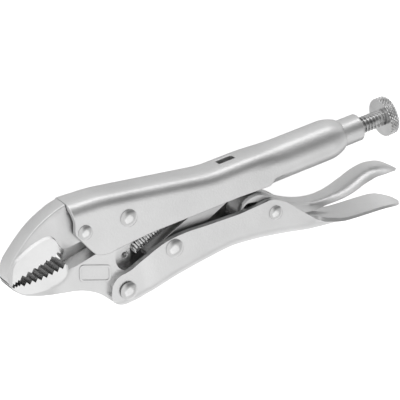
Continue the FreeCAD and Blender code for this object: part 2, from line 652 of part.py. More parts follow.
# ---- everything, placed in the row frame ---------------------------------------------------------------------------
def make_all():
    """Return every piece by node name, in the tool frame."""
    return {
        "fixed_handle": fixed_handle(),
        "upper_jaw": upper_jaw(),
        "upper_jaw_rivet": rivet(STAKE_PIVOT, STAKE_RIVET),
        "jaw_pivot_rivet": rivet(JAW_PIVOT, PIVOT_RIVET),
        "lower_jaw": lower_jaw(),
        "lower_jaw_rivet": rivet(JAW_HANDLE_PIVOT, JAW_RIVET),
        "lower_handle": lower_handle(),
        "toggle_rivet": rivet(TOGGLE_PIVOT, TOGGLE_RIVET),
        "toggle_link": toggle_link(),
        "release_lever": release_lever(),
        "release_rivet": rivet(RELEASE_PIVOT, RELEASE_RIVET),
        "jaw_spring": jaw_spring(),
        "screw_nose": screw_nose(),
        "adjusting_screw": adjusting_screw(),
        "knurled_knob": knurled_knob(),
    }


def place(pieces):
    """Move the pieces so that the origin is at the bottom centre of their box; return the shift."""
    box = Part.makeCompound(list(pieces.values())).BoundBox
    shift = Vector(-(box.XMin + box.XMax) / 2, -(box.YMin + box.YMax) / 2, -box.ZMin)
    for shape in pieces.values():
        shape.translate(shift)
    return shift


def main():
    """Build, place and write every piece, and print what the record needs."""
    os.makedirs("parts", exist_ok=True)
    pieces = make_all()
    shift = place(pieces)
    print("shift", [round(v, 4) for v in shift])
    for name, centre in (("jaw", JAW_PIVOT), ("handle", JAW_HANDLE_PIVOT), ("toggle", TOGGLE_PIVOT),
                         ("release", RELEASE_PIVOT), ("screw", (KNOB_FACE, 0.0))):
        print(name, [round((a + b) / 1000, 6) for a, b in zip((*centre, 0.0), shift)])
    for name, shape in pieces.items():
        print(name, len(shape.Solids), shape.isValid(), round(shape.Volume, 2))
        shape.exportStep("parts/" + name + ".step")


main()
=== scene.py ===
"""Looks for a pair of small curved-jaw locking pliers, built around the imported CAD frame.

Shapes are worked in millimetres in the tool frame: X runs along the adjusting screw from the jaws to the
knob, Y runs across the tool towards the fixed handle, and Z is the thickness, zero at mid-thickness. TO_ROW
then turns a finished mesh into the row frame, in metres.
"""

import json
import logging
import math
from collections.abc import Callable, Iterable, Sequence
from dataclasses import dataclass, field
from enum import Enum, IntEnum

import bmesh
import bpy
from mathutils import Matrix, Vector


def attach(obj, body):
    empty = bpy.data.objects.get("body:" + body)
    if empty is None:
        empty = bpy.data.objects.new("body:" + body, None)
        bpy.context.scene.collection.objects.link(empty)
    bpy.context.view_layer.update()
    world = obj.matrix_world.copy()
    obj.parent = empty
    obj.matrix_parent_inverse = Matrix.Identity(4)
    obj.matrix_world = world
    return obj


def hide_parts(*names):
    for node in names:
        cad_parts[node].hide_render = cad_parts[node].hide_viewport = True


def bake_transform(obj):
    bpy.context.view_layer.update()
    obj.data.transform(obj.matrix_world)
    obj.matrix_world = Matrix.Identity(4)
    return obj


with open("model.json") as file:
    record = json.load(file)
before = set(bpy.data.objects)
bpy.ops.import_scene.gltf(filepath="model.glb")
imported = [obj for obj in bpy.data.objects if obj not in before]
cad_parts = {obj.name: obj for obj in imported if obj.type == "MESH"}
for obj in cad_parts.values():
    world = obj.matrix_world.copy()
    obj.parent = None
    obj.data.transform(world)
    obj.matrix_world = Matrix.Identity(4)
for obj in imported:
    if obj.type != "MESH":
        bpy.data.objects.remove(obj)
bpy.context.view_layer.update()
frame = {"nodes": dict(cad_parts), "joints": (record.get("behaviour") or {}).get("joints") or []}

log = logging.getLogger("locking_pliers")

MM = 0.001  # a millimetre, in metres
KNOB_FACE = 67.5  # X of the knob's inner face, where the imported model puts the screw's turning joint
MERGE = 0.002  # points nearer than this become one
HAIR = 1e-6  # slack for telling two stations apart
THIN = 0.15  # half the land left along a cutting edge


class Body(Enum):
    """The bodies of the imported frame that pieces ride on."""

    FRAME = "frame"
    LOWER_JAW = "lower_jaw"
    LOWER_HANDLE = "lower_handle"
    LINK = "toggle_link"
    LEVER = "release_lever"
    SCREW = "screw"


class Slot(Enum):
    """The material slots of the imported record."""

    PLATED = "satin_nickel"
    BRIGHT = "bright_nickel"
    GROUND = "ground_steel"
    WIRE = "spring_steel"


def joint_place(name: str) -> Vector:
    """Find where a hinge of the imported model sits.

    Args:
        name: the joint's name in the record.

    Returns:
        The joint's place in the row frame, in metres.
    """
    found = [joint for joint in frame["joints"] if joint["name"] == name]
    return Vector(found[0]["pos_m"])


ORIGIN = joint_place("screw_turn") - Vector((KNOB_FACE * MM, 0.0, 0.0))
TO_ROW = Matrix.Translation(ORIGIN) @ Matrix.Scale(MM, 4)


def tool_place(name: str) -> tuple[float, float]:
    """Find a hinge in the tool frame.

    Args:
        name: the joint's name in the record.

    Returns:
        The joint's X and Y in millimetres.
    """
    place = (joint_place(name) - ORIGIN) / MM
    return place.x, place.y


JAW_PIVOT = tool_place("jaw_pivot")
HANDLE_PIVOT = tool_place("handle_pivot")
TOGGLE_PIVOT = tool_place("toggle_pivot")
RELEASE_PIVOT = tool_place("release_pivot")


# ---- curves ------------------------------------------------------------------------------------------
def smooth_step(low: float, high: float, value: float) -> float:
    """Ease from 0 to 1 between two values.

    Args:
        low: the value that gives 0.
        high: the value that gives 1.
        value: where to read the ease.

    Returns:
        The eased share, from 0 to 1.
    """
    share = max(0.0, min(1.0, (value - low) / (high - low)))
    return share * share * (3 - 2 * share)


def mix(a: float, b: float, share: float) -> float:
    """Return the value a given share of the way from a to b."""
    return a + (b - a) * share


@dataclass(frozen=True)
class Profile:
    """A height that varies along a line, given at a few places and rounded at its corners."""

    points: tuple[tuple[float, float], ...]
    soft: float = 0.0

    def straight(self, x: float) -> float:
        """Read the profile with sharp corners.

        Args:
            x: the place along the line.

        Returns:
            The height there.
        """
        if x <= self.points[0][0]:
            return self.points[0][1]
        for (xa, ya), (xb, yb) in zip(self.points, self.points[1:]):
            if x <= xb:
                return mix(ya, yb, (x - xa) / (xb - xa))
        return self.points[-1][1]

    def at(self, x: float) -> float:
        """Read the profile with its corners rounded over the soft length.

        Args:
            x: the place along the line.

        Returns:
            The height there.
        """
        if not self.soft:
            return self.straight(x)
        reads = 8
        offsets = [self.soft * (i / reads * 2 - 1) for i in range(reads + 1)]
        return sum(self.straight(x + offset) for offset in offsets) / len(offsets)


@dataclass(frozen=True)
class Track:
    """A smooth line through a few points in the tool's plane, read by its share of length."""

    points: tuple[tuple[float, float], ...]
    curved: bool = True

    def dense(self) -> list[Vector]:
        """Sample the line closely.

        Returns:
            Points along a Catmull-Rom curve through the given points, or those points alone.
        """
        knots = [Vector(p) for p in self.points]
        if not self.curved:
            return knots
        knots = [knots[0] * 2 - knots[1]] + knots + [knots[-1] * 2 - knots[-2]]
        line = []
        parts = 8
        for a, b, c, d in zip(knots, knots[1:], knots[2:], knots[3:]):
            for i in range(parts):
                t = i / parts
                line.append(0.5 * (2 * b + (c - a) * t + (2 * a - 5 * b + 4 * c - d) * t * t
                                   + (3 * b - a - 3 * c + d) * t ** 3))
        return line + [knots[-2]]

    def spread(self, shares: Sequence[float]) -> list[Vector]:
        """Read the line at several shares of its length.

        Args:
            shares: rising shares from 0 to 1.

        Returns:
            One point for each share.
        """
        line = self.dense()
        runs = [0.0]
        for a, b in zip(line, line[1:]):
            runs.append(runs[-1] + (b - a).length)
        found = []
        k = 0
        for share in shares:
            want = share * runs[-1]
            while k < len(line) - 2 and runs[k + 1] < want:
                k += 1
            span = runs[k + 1] - runs[k] or 1.0
            found.append(line[k].lerp(line[k + 1], min(1.0, (want - runs[k]) / span)))
        return found


def rounded(corners: Sequence[tuple[float, ...]], steps: int = 5) -> list[tuple[float, float]]:
    """Round the corners of an open line.

    Args:
        corners: points (x, y) or (x, y, radius).
        steps: how many pieces each round is cut into.

    Returns:
        The points of the rounded line.
    """
    line = [tuple(corners[0][:2])]
    for before, corner, after in zip(corners, corners[1:], corners[2:]):
        here = Vector(corner[:2])
        radius = corner[2] if len(corner) > 2 else 0.0
        if not radius:
            line.append(tuple(here))
            continue
        to_a = (Vector(before[:2]) - here).normalized()
        to_b = (Vector(after[:2]) - here).normalized()
        half = to_a.angle(to_b) / 2
        reach = radius / math.tan(half)
        centre = here + (to_a + to_b).normalized() * radius / math.sin(half)
        start = here + to_a * reach - centre
        turn = start.angle_signed(here + to_b * reach - centre)
        for i in range(steps + 1):
            angle = -turn * i / steps
            spoke = Vector((start.x * math.cos(angle) - start.y * math.sin(angle),
                            start.x * math.sin(angle) + start.y * math.cos(angle)))
            line.append(tuple(centre + spoke))
    line.append(tuple(corners[-1][:2]))
    return line


def spaced(*runs: tuple[float, float, int]) -> list[float]:
    """List places along a line.

    Args:
        *runs: each run's start, end and number of steps; the runs follow on.

    Returns:
        The places, rising.
    """
    places = [runs[0][0]]
    for start, end, count in runs:
        places += [start + (end - start) * (i + 1) / count for i in range(count)]
    return places


def round_tail(x: float, z: float, start: float, end: float, flat: float, radius: float) -> float:
    """Draw a station in towards the corners of a sheet's tail, so that the tail is rounded.

    Args:
        x: the station on the middle line.
        z: how far from the middle the point is.
        start: the station where the drawing in begins.
        end: the tail's end on the middle line.
        flat: half the width of the straight part of the end.
        radius: the corners' radius.

    Returns:
        The station of the point.
    """
    over = max(0.0, z - flat)
    edge = end - radius + math.sqrt(max(0.0, radius ** 2 - over ** 2))
    return start + (x - start) * (edge - start) / (end - start)


# ---- finishes ----------------------------------------------------------------------------------------
def linear(colour: str) -> tuple[float, float, float, float]:
    """Turn an sRGB hex colour to linear light.

    Args:
        colour: six hex digits, such as "c8c7c3".

    Returns:
        Red, green, blue and an alpha of 1.
    """
    parts = [int(colour[i:i + 2], 16) / 255 for i in (0, 2, 4)]
    red, green, blue = [c / 12.92 if c <= 0.04045 else ((c + 0.055) / 1.055) ** 2.4 for c in parts]
    return red, green, blue, 1.0


def add_node(tree: bpy.types.NodeTree, kind: str, values: dict | None = None, links: dict | None = None,
             **settings: object) -> bpy.types.Node:
    """Add one node with its values, links and settings.

    Args:
        tree: the node tree it goes in.
        kind: the node's type name.
        values: socket name or number to its constant.
        links: socket name or number to the output that feeds it.
        **settings: properties of the node itself.

    Returns:
        The new node.
    """
    node = tree.nodes.new(kind)
    for key, value in settings.items():
        setattr(node, key, value)
    for key, value in (values or {}).items():
        node.inputs[key].default_value = value
    for key, source in (links or {}).items():
        tree.links.new(source, node.inputs[key])
    return node


@dataclass(frozen=True)
class PlatedSteel:
    """Steel under a thin nickel plate, as blasted, ground or turned before plating.

    The grain is a fine bump, and the mottle is the slow change of colour and gloss across a plated face. Lay
    scales the grain's three axes: an X below 1 draws it out along X, as grinding does, and turn swings that
    direction round Z.
    """

    name: str
    light: str
    dark: str
    gloss: tuple[float, float]
    grain_mm: float
    grain_depth_mm: float
    mottle_mm: float
    lay: tuple[float, float, float] = (1.0, 1.0, 1.0)
    turn: float = 0.0

    def material(self) -> bpy.types.Material:
        """Make the finish's material.

        Returns:
            A new material, metallic, with grain, mottle and uneven gloss.
        """
        made = bpy.data.materials.new(self.name)
        made.use_nodes = True
        tree = made.node_tree
        shader = tree.nodes["Principled BSDF"]
        place = add_node(tree, "ShaderNodeTexCoord").outputs["Object"]
        lay = add_node(tree, "ShaderNodeMapping", {"Scale": self.lay, "Rotation": (0.0, 0.0, self.turn)},
                       {"Vector": place}).outputs["Vector"]
        mottle = add_node(tree, "ShaderNodeTexNoise", {"Scale": 1 / (self.mottle_mm * MM), "Detail": 3.0},
                          {"Vector": place}).outputs["Fac"]
        grain = add_node(tree, "ShaderNodeTexNoise", {"Scale": 1 / (self.grain_mm * MM), "Detail": 4.0,
                                                      "Roughness": 0.6}, {"Vector": lay}).outputs["Fac"]
        ramp = add_node(tree, "ShaderNodeValToRGB", links={"Fac": mottle})
        ends = ((0.3, self.dark), (0.7, self.light))  # a noise seldom leaves this range
        for element, (position, colour) in zip(ramp.color_ramp.elements, ends):
            element.position = position
            element.color = linear(colour)
        both = add_node(tree, "ShaderNodeMath", links={0: mottle, 1: grain}, operation="ADD").outputs[0]
        gloss = add_node(tree, "ShaderNodeMapRange",
                         {"From Min": 0.6, "From Max": 1.4, "To Min": self.gloss[0], "To Max": self.gloss[1]},
                         {"Value": both}).outputs["Result"]
        bump = add_node(tree, "ShaderNodeBump", {"Strength": 1.0, "Distance": self.grain_depth_mm * MM},
                        {"Height": grain}).outputs["Normal"]
        shader.inputs["Metallic"].default_value = 1.0
        tree.links.new(ramp.outputs["Color"], shader.inputs["Base Color"])
        tree.links.new(gloss, shader.inputs["Roughness"])
        tree.links.new(bump, shader.inputs["Normal"])
        return made


class Finish(Enum):
    """The finishes on this tool."""

    # shot-blasted pressings and forgings under satin nickel: an even pearl grey with a fine sparkle
    BLASTED = PlatedSteel("satin_nickel_on_blasted_steel", "dadada", "d0d0d0", (0.30, 0.40), 0.7, 0.055, 14.0)
    # faces ground after forging, before plating: brighter than the rest, with fine parallel scratches
    GROUND = PlatedSteel("nickel_on_ground_steel", "e4e4e4", "dadada", (0.28, 0.38), 0.5, 0.006, 6.0,
                         (0.12, 1.0, 1.0), 0.5)
    # rivet heads, screw and knob, turned and bright plated: small clear highlights
    TURNED = PlatedSteel("bright_nickel_on_turned_steel", "dadada", "cecece", (0.15, 0.24), 0.6, 0.008, 4.0)
    # threads and knurls, cut and bright plated, in a darker grey all over: painted shade for their grooves
    CUT = PlatedSteel("bright_nickel_cut_threads_painted_shade", "d2d2d2", "aeaeae", (0.16, 0.24), 0.5, 0.006, 2.0)
    # cut teeth: the same plate in a darker grey, painted shade down in the gullets
    MILLED = PlatedSteel("nickel_teeth_painted_gullet_shade", "a2a2a2", "828282", (0.26, 0.40), 0.4, 0.010, 1.5)
    # drawn music wire, plated: bright, with draw lines too fine to see
    WIRE = PlatedSteel("plated_music_wire", "e8e8e8", "d8d8d8", (0.20, 0.30), 0.5, 0.004, 3.0)
    # blanked plate of the toggle link, flashed with nickel
    BLANKED = PlatedSteel("nickel_flash_on_blanked_plate", "c6c6c6", "b6b6b6", (0.30, 0.42), 0.4, 0.008, 5.0)


MATERIALS: dict[Finish, bpy.types.Material] = {}


def material(finish: Finish) -> bpy.types.Material:
    """Fetch a finish's material, made the first time it is asked for.

    Args:
        finish: the finish wanted.

    Returns:
        Its material.
    """
    if finish not in MATERIALS:
        MATERIALS[finish] = finish.value.material()
    return MATERIALS[finish]


# ---- pieces in general -------------------------------------------------------------------------------
@dataclass
class Piece:
    """One visible piece of the tool.

    Its shape() is a bmesh in the tool frame. build() turns it into an object that rides on a body, stands for
    CAD nodes and wears its finishes.
    """

    name: str
    body: Body
    slot: Slot
    nodes: tuple[str, ...] = ()
    finishes: tuple[Finish, ...] = (Finish.BLASTED,)
    edge: float = 0.22  # width of the rounding on its edges
    held: bool = True  # rounding stops where it would run over a neighbouring edge
    wall: float = 0.0  # thickness of a sheet, or 0 for a solid
    crease: float = math.radians(32)  # edges that turn more than this are rounded
    thinning: Profile | None = None  # share of the wall that is left, along X

    def shape(self) -> bmesh.types.BMesh:
        """Make the piece's mesh in the tool frame."""
        raise NotImplementedError

    def soften(self, made: bpy.types.Object) -> None:
        """Give the piece its wall and its rounded edges.

        Args:
            made: the piece's object.
        """
        if self.wall:
            wall = made.modifiers.new("wall", "SOLIDIFY")
            wall.thickness = self.wall * MM
            wall.offset = -1.0
            wall.use_even_offset = True
            wall.use_quality_normals = True
            if self.thinning:
                group = made.vertex_groups.new(name="wall")
                for vert in made.data.vertices:
                    group.add([vert.index], self.thinning.at((vert.co.x - ORIGIN.x) / MM), "REPLACE")
                wall.vertex_group = group.name
        if self.edge:
            bevel = made.modifiers.new("edges", "BEVEL")
            bevel.width = self.edge * MM
            bevel.segments = 2
            bevel.use_clamp_overlap = self.held
            bevel.limit_method = "ANGLE"
            bevel.angle_limit = self.crease
            bevel.harden_normals = True

    def build(self) -> bpy.types.Object:
        """Build, dress and place the piece.

        Returns:
            The finished object.
        """
        shell = self.shape()
        for face in shell.faces:
            face.smooth = True
        shell.normal_update()
        for edge in shell.edges:
            edge.smooth = len(edge.link_faces) == 2 and edge.calc_face_angle(0.0) < self.crease
        shell.transform(TO_ROW)
        mesh = bpy.data.meshes.new(self.name)
        shell.to_mesh(mesh)
        shell.free()
        made = bpy.data.objects.new(self.name, mesh)
        bpy.context.scene.collection.objects.link(made)
        for finish in self.finishes:
            mesh.materials.append(material(finish))
        self.soften(made)
        self.attach(made)
        log.info("built %s with %d faces", self.name, len(mesh.polygons))
        return made

    def attach(self, made: bpy.types.Object) -> None:
        """Ride the piece on its body and say what it stands for.

        Args:
            made: the piece's object.
        """
        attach(made, self.body.value)
        if self.nodes:
            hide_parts(*self.nodes)


def grid(columns: int, rows: int, place: Callable[[int, int], Sequence[float]],
         keep: Callable[[int, int], bool] | None = None,
         dress: Callable[[int, int], int] | None = None) -> bmesh.types.BMesh:
    """Bend a flat grid into a sheet.

    Args:
        columns: number of points along the grid.
        rows: number of points across it.
        place: gives the place of the point in a column and row.
        keep: says whether the face beyond a column and row stays.
        dress: gives that face's material number.

    Returns:
        The sheet, with doubled points merged.
    """
    sheet = bmesh.new()
    bmesh.ops.create_grid(sheet, x_segments=columns - 1, y_segments=rows - 1, size=1.0)
    where = {v: (round((v.co.x + 1) / 2 * (columns - 1)), round((v.co.y + 1) / 2 * (rows - 1)))
             for v in sheet.verts}
    dropped = []
    for face in sheet.faces:
        column = min(where[v][0] for v in face.verts)
        row = min(where[v][1] for v in face.verts)
        if dress:
            face.material_index = dress(column, row)
        if keep and not keep(column, row):
            dropped.append(face)
    for vert, (column, row) in where.items():
        vert.co = place(column, row)
    bmesh.ops.delete(sheet, geom=dropped, context="FACES")
    bmesh.ops.remove_doubles(sheet, verts=sheet.verts[:], dist=MERGE)
    bmesh.ops.dissolve_degenerate(sheet, edges=sheet.edges[:], dist=MERGE)
    return sheet


def new_verts(made: dict[str, list]) -> list[bmesh.types.BMVert]:
    """Pick the points out of what an operator made."""
    return [item for item in made["geom"] if isinstance(item, bmesh.types.BMVert)]


def close_mirrored(solid: bmesh.types.BMesh) -> None:
    """Close a plate's near face into a solid whose far face is the near one's mirror image.

    Args:
        solid: the near face.
    """
    made = bmesh.ops.extrude_face_region(solid, geom=solid.faces[:], use_keep_orig=True)
    for vert in new_verts(made):
        vert.co.z = -vert.co.z
    bmesh.ops.recalc_face_normals(solid, faces=solid.faces[:])


def face_out(sheet: bmesh.types.BMesh, outward: Callable[[Vector], Vector]) -> None:
    """Turn an open sheet so that its faces point outwards.

    Args:
        sheet: the sheet.
        outward: gives the outward direction at a place.
    """
    sheet.normal_update()
    lean = sum(face.normal.dot(outward(face.calc_center_median())) * face.calc_area()
               for face in sheet.faces)
    if lean < 0:
        bmesh.ops.reverse_faces(sheet, faces=sheet.faces[:])


def turned(line: Iterable[tuple[float, float]], steps: int) -> bmesh.types.BMesh:
    """Spin a half outline round the screw's axis.

    Args:
        line: points (x, radius), from one end of the axis to the other.
        steps: how many steps the round is cut into.

    Returns:
        The closed solid.
    """
    solid = bmesh.new()
    verts = [solid.verts.new((x, radius, 0.0)) for x, radius in line]
    edges = [solid.edges.new(pair) for pair in zip(verts, verts[1:])]
    bmesh.ops.spin(solid, geom=verts + edges, cent=(0, 0, 0), axis=(1, 0, 0), dvec=(0, 0, 0),
                   angle=math.tau, steps=steps, use_merge=True, use_duplicate=False)
    bmesh.ops.remove_doubles(solid, verts=solid.verts[:], dist=MERGE)
    bmesh.ops.recalc_face_normals(solid, faces=solid.faces[:])
    return solid


# ---- pressed sheet pieces ----------------------------------------------------------------------------
class Strip(Enum):
    """The strips of a pressing, from its middle to its edge, that its rows run along."""

    SPINE = "the fixed handle's flat top"
    WEB = "the lower handle's flat bottom"
    BEND = "the bend between the middle and the side"
    CHEEK = "the fixed handle's side"
    WALL = "the lower handle's side"
    UNDER = "the part of the tube that closes it underneath"


@dataclass
class Pressing(Piece):
    """A piece pressed from sheet, drawn as its outside face and given its wall inwards.

    Its grid runs along the piece in columns. Across it, last is the number of the middle row, from which the
    rows on both sides are counted.
    """

    last: int = 0

    def side(self, row: int) -> float:
        """Say on which side a point lies: 1 for the near side, -1 for the far one."""
        return 1.0 if row >= self.last else -1.0

    def from_middle(self, row: int) -> int:
        """Count a face's row from the middle of the sheet."""
        return row - self.last if row >= self.last else self.last - 1 - row

    def place(self, column: int, row: int) -> Vector:
        """Give the place of a grid point in the tool frame."""
        raise NotImplementedError

    def keep(self, column: int, row: int) -> bool:
        """Say whether the face beyond a column and row stays."""
        raise NotImplementedError

    def sheet(self, columns: int, outward: Callable[[Vector], Vector]) -> bmesh.types.BMesh:
        """Bend the pressing's outside face.

        Args:
            columns: number of columns along it.
            outward: gives the outward direction at a place.

        Returns:
            The open sheet in the tool frame.
        """
        made = grid(columns, 2 * self.last + 1, self.place, self.keep)
        face_out(made, outward)
        return made


@dataclass
class FixedHandle(Pressing):
    """The pressed channel that is rolled into a tube and drawn down to the collar for the screw."""

    half_width: float = 6.4
    bend: float = 4.2
    radius: float = 6.5
    front: float = -44.4
    lip: float = -43.1  # the cell behind the front edge is long enough to hold that edge's rounding
    slant_end: float = -27.0  # behind this, columns no longer lean with the front edge
    corner: float = 21.0  # the cells from here to the mouth are long for the same reason
    mouth: float = 23.8
    rolled: float = 31.0
    tube_end: float = 42.0
    collar_radius: float = 4.4
    collar_end: float = 58.8
    opening: tuple[float, float, float] = (8.0, 13.7, 1.4)  # the spring slot's two ends and half its width
    cheek_top: float = math.radians(66.0)  # where the cheeks go to, round the tube
    cheek_foot: float = math.radians(113.6)

    spine: Profile = Profile(((-45.2, 13.7), (-34.0, 13.0), (3.0, 6.5), (60.0, 6.5)), 2.5)
    edge_line: Profile = Profile((
        (-39.6, -3.9), (-38.6, -4.7), (-37.4, -5.25), (-34.9, -5.55), (-32.6, -5.2), (-20.7, -4.35),
        (10.0, -4.35), (18.0, -4.7), (21.4, -4.85), (22.6, -4.5), (23.3, -3.9), (23.8, -3.2)), 0.3)
    front_line: Profile = Profile((
        (-4.6, -39.3), (-3.6, -39.8), (-2.7, -40.6), (2.9, -43.9), (4.5, -44.8), (6.0, -44.3), (7.6, -43.9),
        (9.8, -44.1), (13.7, -44.4)), 0.35)

    def __post_init__(self) -> None:
        """Work out the columns along the handle and the rows round it."""
        slot_start, slot_end, slot_half = self.opening
        shoulder = rounded([(self.tube_end, self.radius), (47.8, self.radius, 12.0), (51.2, 5.1, 1.4),
                            (51.8, self.collar_radius, 0.35), (53.6, self.collar_radius)], 8)
        rim = rounded([(self.collar_end - 1.0, self.collar_radius),
                       (self.collar_end, self.collar_radius, 0.5),
                       (self.collar_end, self.collar_radius - 0.8)], 4)
        channel = spaced((self.front, self.lip, 1), (self.lip, slot_start, 40), (slot_start, slot_end, 5),
                         (slot_end, 18.0, 4), (18.0, self.corner, 4), (self.corner, self.mouth, 4),
                         (self.mouth, self.rolled, 10), (self.rolled, self.tube_end - 1.0, 5))
        self.stations = [(x, self.radius) for x in channel] + shoulder
        self.stations += [(self.collar_end - 3.0, self.collar_radius)] + rim
        flat = self.half_width - self.bend
        self.rows = [(Strip.SPINE, z) for z in (0.0, slot_half / 2, slot_half, flat)]
        self.rows += [(Strip.BEND, math.radians(90.0 * (i + 1) / 8)) for i in range(8)]
        self.rows += [(Strip.CHEEK, (i + 1) / 10) for i in range(10)]
        self.rows += [(Strip.UNDER, (i + 1) / 8) for i in range(8)]
        self.last = len(self.rows) - 1

    def around(self, row: int) -> float:
        """Give the angle from the top at which a row runs along the tube.

        Args:
            row: the row's number, from the spine's middle.

        Returns:
            The angle in radians.
        """
        kind, value = self.rows[row]
        if kind == Strip.SPINE:
            return math.asin(value / self.radius)
        start = math.asin((self.half_width - self.bend) / self.radius)
        if kind == Strip.BEND:
            return mix(start, self.cheek_top, value / math.radians(90))
        if kind == Strip.CHEEK:
            return mix(self.cheek_top, self.cheek_foot, value)
        return mix(self.cheek_foot, math.pi, value)

    def channel_point(self, x: float, row: int) -> Vector:
        """Give a point of the channel's outside, on the near side.

        Args:
            x: the station.
            row: the row's number, from the spine's middle.

        Returns:
            The point in the tool frame.
        """
        kind, value = self.rows[row]
        top = self.spine.at(x)
        flat = self.half_width - self.bend
        shift = 1 - smooth_step(self.front, self.slant_end, x)
        if kind == Strip.SPINE:
            return Vector((x, top, value))
        if kind == Strip.BEND:
            y = top - self.bend * (1 - math.cos(value))
            front = self.front_line.at(y) - self.front_line.at(top)
            return Vector((x + shift * front, y, flat + self.bend * math.sin(value)))
        along = value if kind == Strip.CHEEK else 1.0
        low_front = self.edge_line.at(self.edge_line.points[0][0])
        y_front = mix(self.spine.at(self.front) - self.bend, low_front, along)
        x += shift * (self.front_line.at(y_front) - self.front)
        y = mix(self.spine.at(x) - self.bend, self.edge_line.at(x), along)
        return Vector((x, y, self.half_width))

    def place(self, column: int, row: int) -> Vector:
        """Give the place of a grid point.

        Args:
            column: the station's number.
            row: the row's number, counted across both sides.

        Returns:
            The point in the tool frame.
        """
        x, radius = self.stations[column]
        side = self.side(row)
        row = abs(row - self.last)
        kind = self.rows[row][0]
        angle = self.around(row)
        tube = Vector((x, radius * math.cos(angle), radius * math.sin(angle)))
        if kind == Strip.UNDER:
            roll = 1.0
        elif kind == Strip.CHEEK:
            roll = smooth_step(20.0, self.rolled, x)
        else:
            roll = smooth_step(14.0, self.rolled - 1.0, x)
        point = self.channel_point(x, row).lerp(tube, roll) if roll < 1 else tube
        point.z *= side
        return point

    def keep(self, column: int, row: int) -> bool:
        """Say whether a face stays: not under the channel, and not in the spring slot.

        Args:
            column: the face's first column.
            row: the face's first row.

        Returns:
            True if the face stays.
        """
        x = self.stations[column][0]
        kind, value = self.rows[self.from_middle(row) + 1]
        slot_start, slot_end, slot_half = self.opening
        below = kind == Strip.UNDER and x < self.mouth - HAIR
        in_slot = kind == Strip.SPINE and value <= slot_half and slot_start - HAIR < x < slot_end - HAIR
        return not (below or in_slot)

    def shape(self) -> bmesh.types.BMesh:
        """Make the pressing's outside sheet, facing away from a line inside the channel."""
        return self.sheet(len(self.stations), lambda p: Vector((0.0, p.y - 1.0, p.z)))


@dataclass
class LowerHandle(Pressing):
    """The pressed channel with ears at its front and a dished tongue at its back."""

    half_width: float = 6.4
    ear_inset: float = 0.45  # the ears are pinched in by this much
    bend: float = 3.5
    ear: float = 5.6
    front: float = -37.3
    shrink_from: float = -31.7  # from here forwards, the ear's bend shrinks to least_bend
    least_bend: float = 0.6
    mouth: float = -23.1
    tail: float = 60.0
    end: float = 68.6
    end_round: float = 5.8
    dish_below: float = 1.0  # the dish's edge stays this far below the rim line
    web: Profile = Profile((
        (-37.3, -25.1), (-28.3, -25.0), (-14.8, -22.3), (-6.1, -21.2), (2.7, -20.3), (7.0, -20.2),
        (15.6, -21.3), (24.1, -23.0), (32.7, -25.1), (41.5, -27.0), (47.0, -27.7), (52.0, -28.0),
        (57.0, -28.4), (61.0, -28.8), (65.0, -29.3), (68.6, -29.9)), 1.6)
    rim: Profile = Profile((
        (-31.7, -13.9), (-29.2, -13.55), (-25.2, -11.9), (-20.9, -10.1), (-16.6, -8.9), (-12.5, -8.5),
        (-8.3, -8.5), (-2.1, -9.0), (9.3, -9.6), (17.1, -9.3), (20.5, -9.1), (22.8, -9.8), (26.4, -12.2),
        (30.5, -16.6), (34.8, -21.0), (38.0, -23.2), (45.0, -25.1), (52.0, -25.8), (57.0, -26.2),
        (61.0, -26.6), (65.0, -27.3), (68.6, -28.2)), 0.9)

    def __post_init__(self) -> None:
        """Work out the columns along the handle and the rows across it."""
        self.stations = spaced((self.front, -28.0, 10), (-28.0, self.mouth, 8), (self.mouth, 18.0, 32),
                               (18.0, 42.0, 26), (42.0, self.tail, 10), (self.tail, self.end, 10))
        self.rows = [(Strip.WEB, (i / 5)) for i in range(6)]
        self.rows += [(Strip.BEND, math.radians(a)) for a in (13.6, 27.2, 45, 60, 75, 90)]
        self.rows += [(Strip.WALL, (i + 1) / 9) for i in range(9)]
        self.last = len(self.rows) - 1

    def place(self, column: int, row: int) -> Vector:
        """Give the place of a grid point.

        Args:
            column: the station's number.
            row: the row's number, counted across both sides.

        Returns:
            The point in the tool frame.
        """
        x = self.stations[column]
        near = abs(row - self.last)
        width = self.half_width - self.ear_inset * (1 - smooth_step(-26.5, -22.0, x))
        if x > self.tail:
            x = round_tail(x, width * near / self.last, self.tail, self.end,
                           self.half_width - self.end_round, self.end_round)
        kind, value = self.rows[near]
        low, high = self.web.at(x), self.rim.at(x)
        rise = min(self.bend, high - low)
        if x < HANDLE_PIVOT[0]:
            least = 0.02  # the ear's foremost column isn't quite closed
            spread = math.sqrt(max(0.0, self.ear ** 2 - (x - HANDLE_PIVOT[0]) ** 2)) + least
            low, high = HANDLE_PIVOT[1] - spread, HANDLE_PIVOT[1] + spread
            shrink = smooth_step(self.shrink_from, self.front, x)
            rise = min(mix(self.bend, self.least_bend, shrink), high - low)
        flat = width - self.bend
        if kind == Strip.WEB:
            point = Vector((x, low, flat * value))
        elif kind == Strip.BEND:
            point = Vector((x, low + rise * (1 - math.cos(value)), flat + self.bend * math.sin(value)))
        else:
            point = Vector((x, mix(low + rise, high, value), width))
        share = near / self.last
        dish = Vector((x, low + (high - self.dish_below - low) * share ** 2.2, width * share))
        point = point.lerp(dish, smooth_step(32.0, 48.0, x))
        point.z *= self.side(row)
        return point

    def keep(self, column: int, row: int) -> bool:
        """Say whether a face stays: the web stops short of the ears.

        Args:
            column: the face's first column.
            row: the face's first row.

        Returns:
            True if the face stays.
        """
        kind, value = self.rows[self.from_middle(row)]
        open_web = kind == Strip.WEB or (kind == Strip.BEND and value < math.radians(26))
        return not (open_web and self.stations[column] < self.mouth - HAIR)

    def shape(self) -> bmesh.types.BMesh:
        """Make the pressing's outside sheet, facing down and out."""
        return self.sheet(len(self.stations), lambda p: Vector((0.0, -1.0, p.z)))


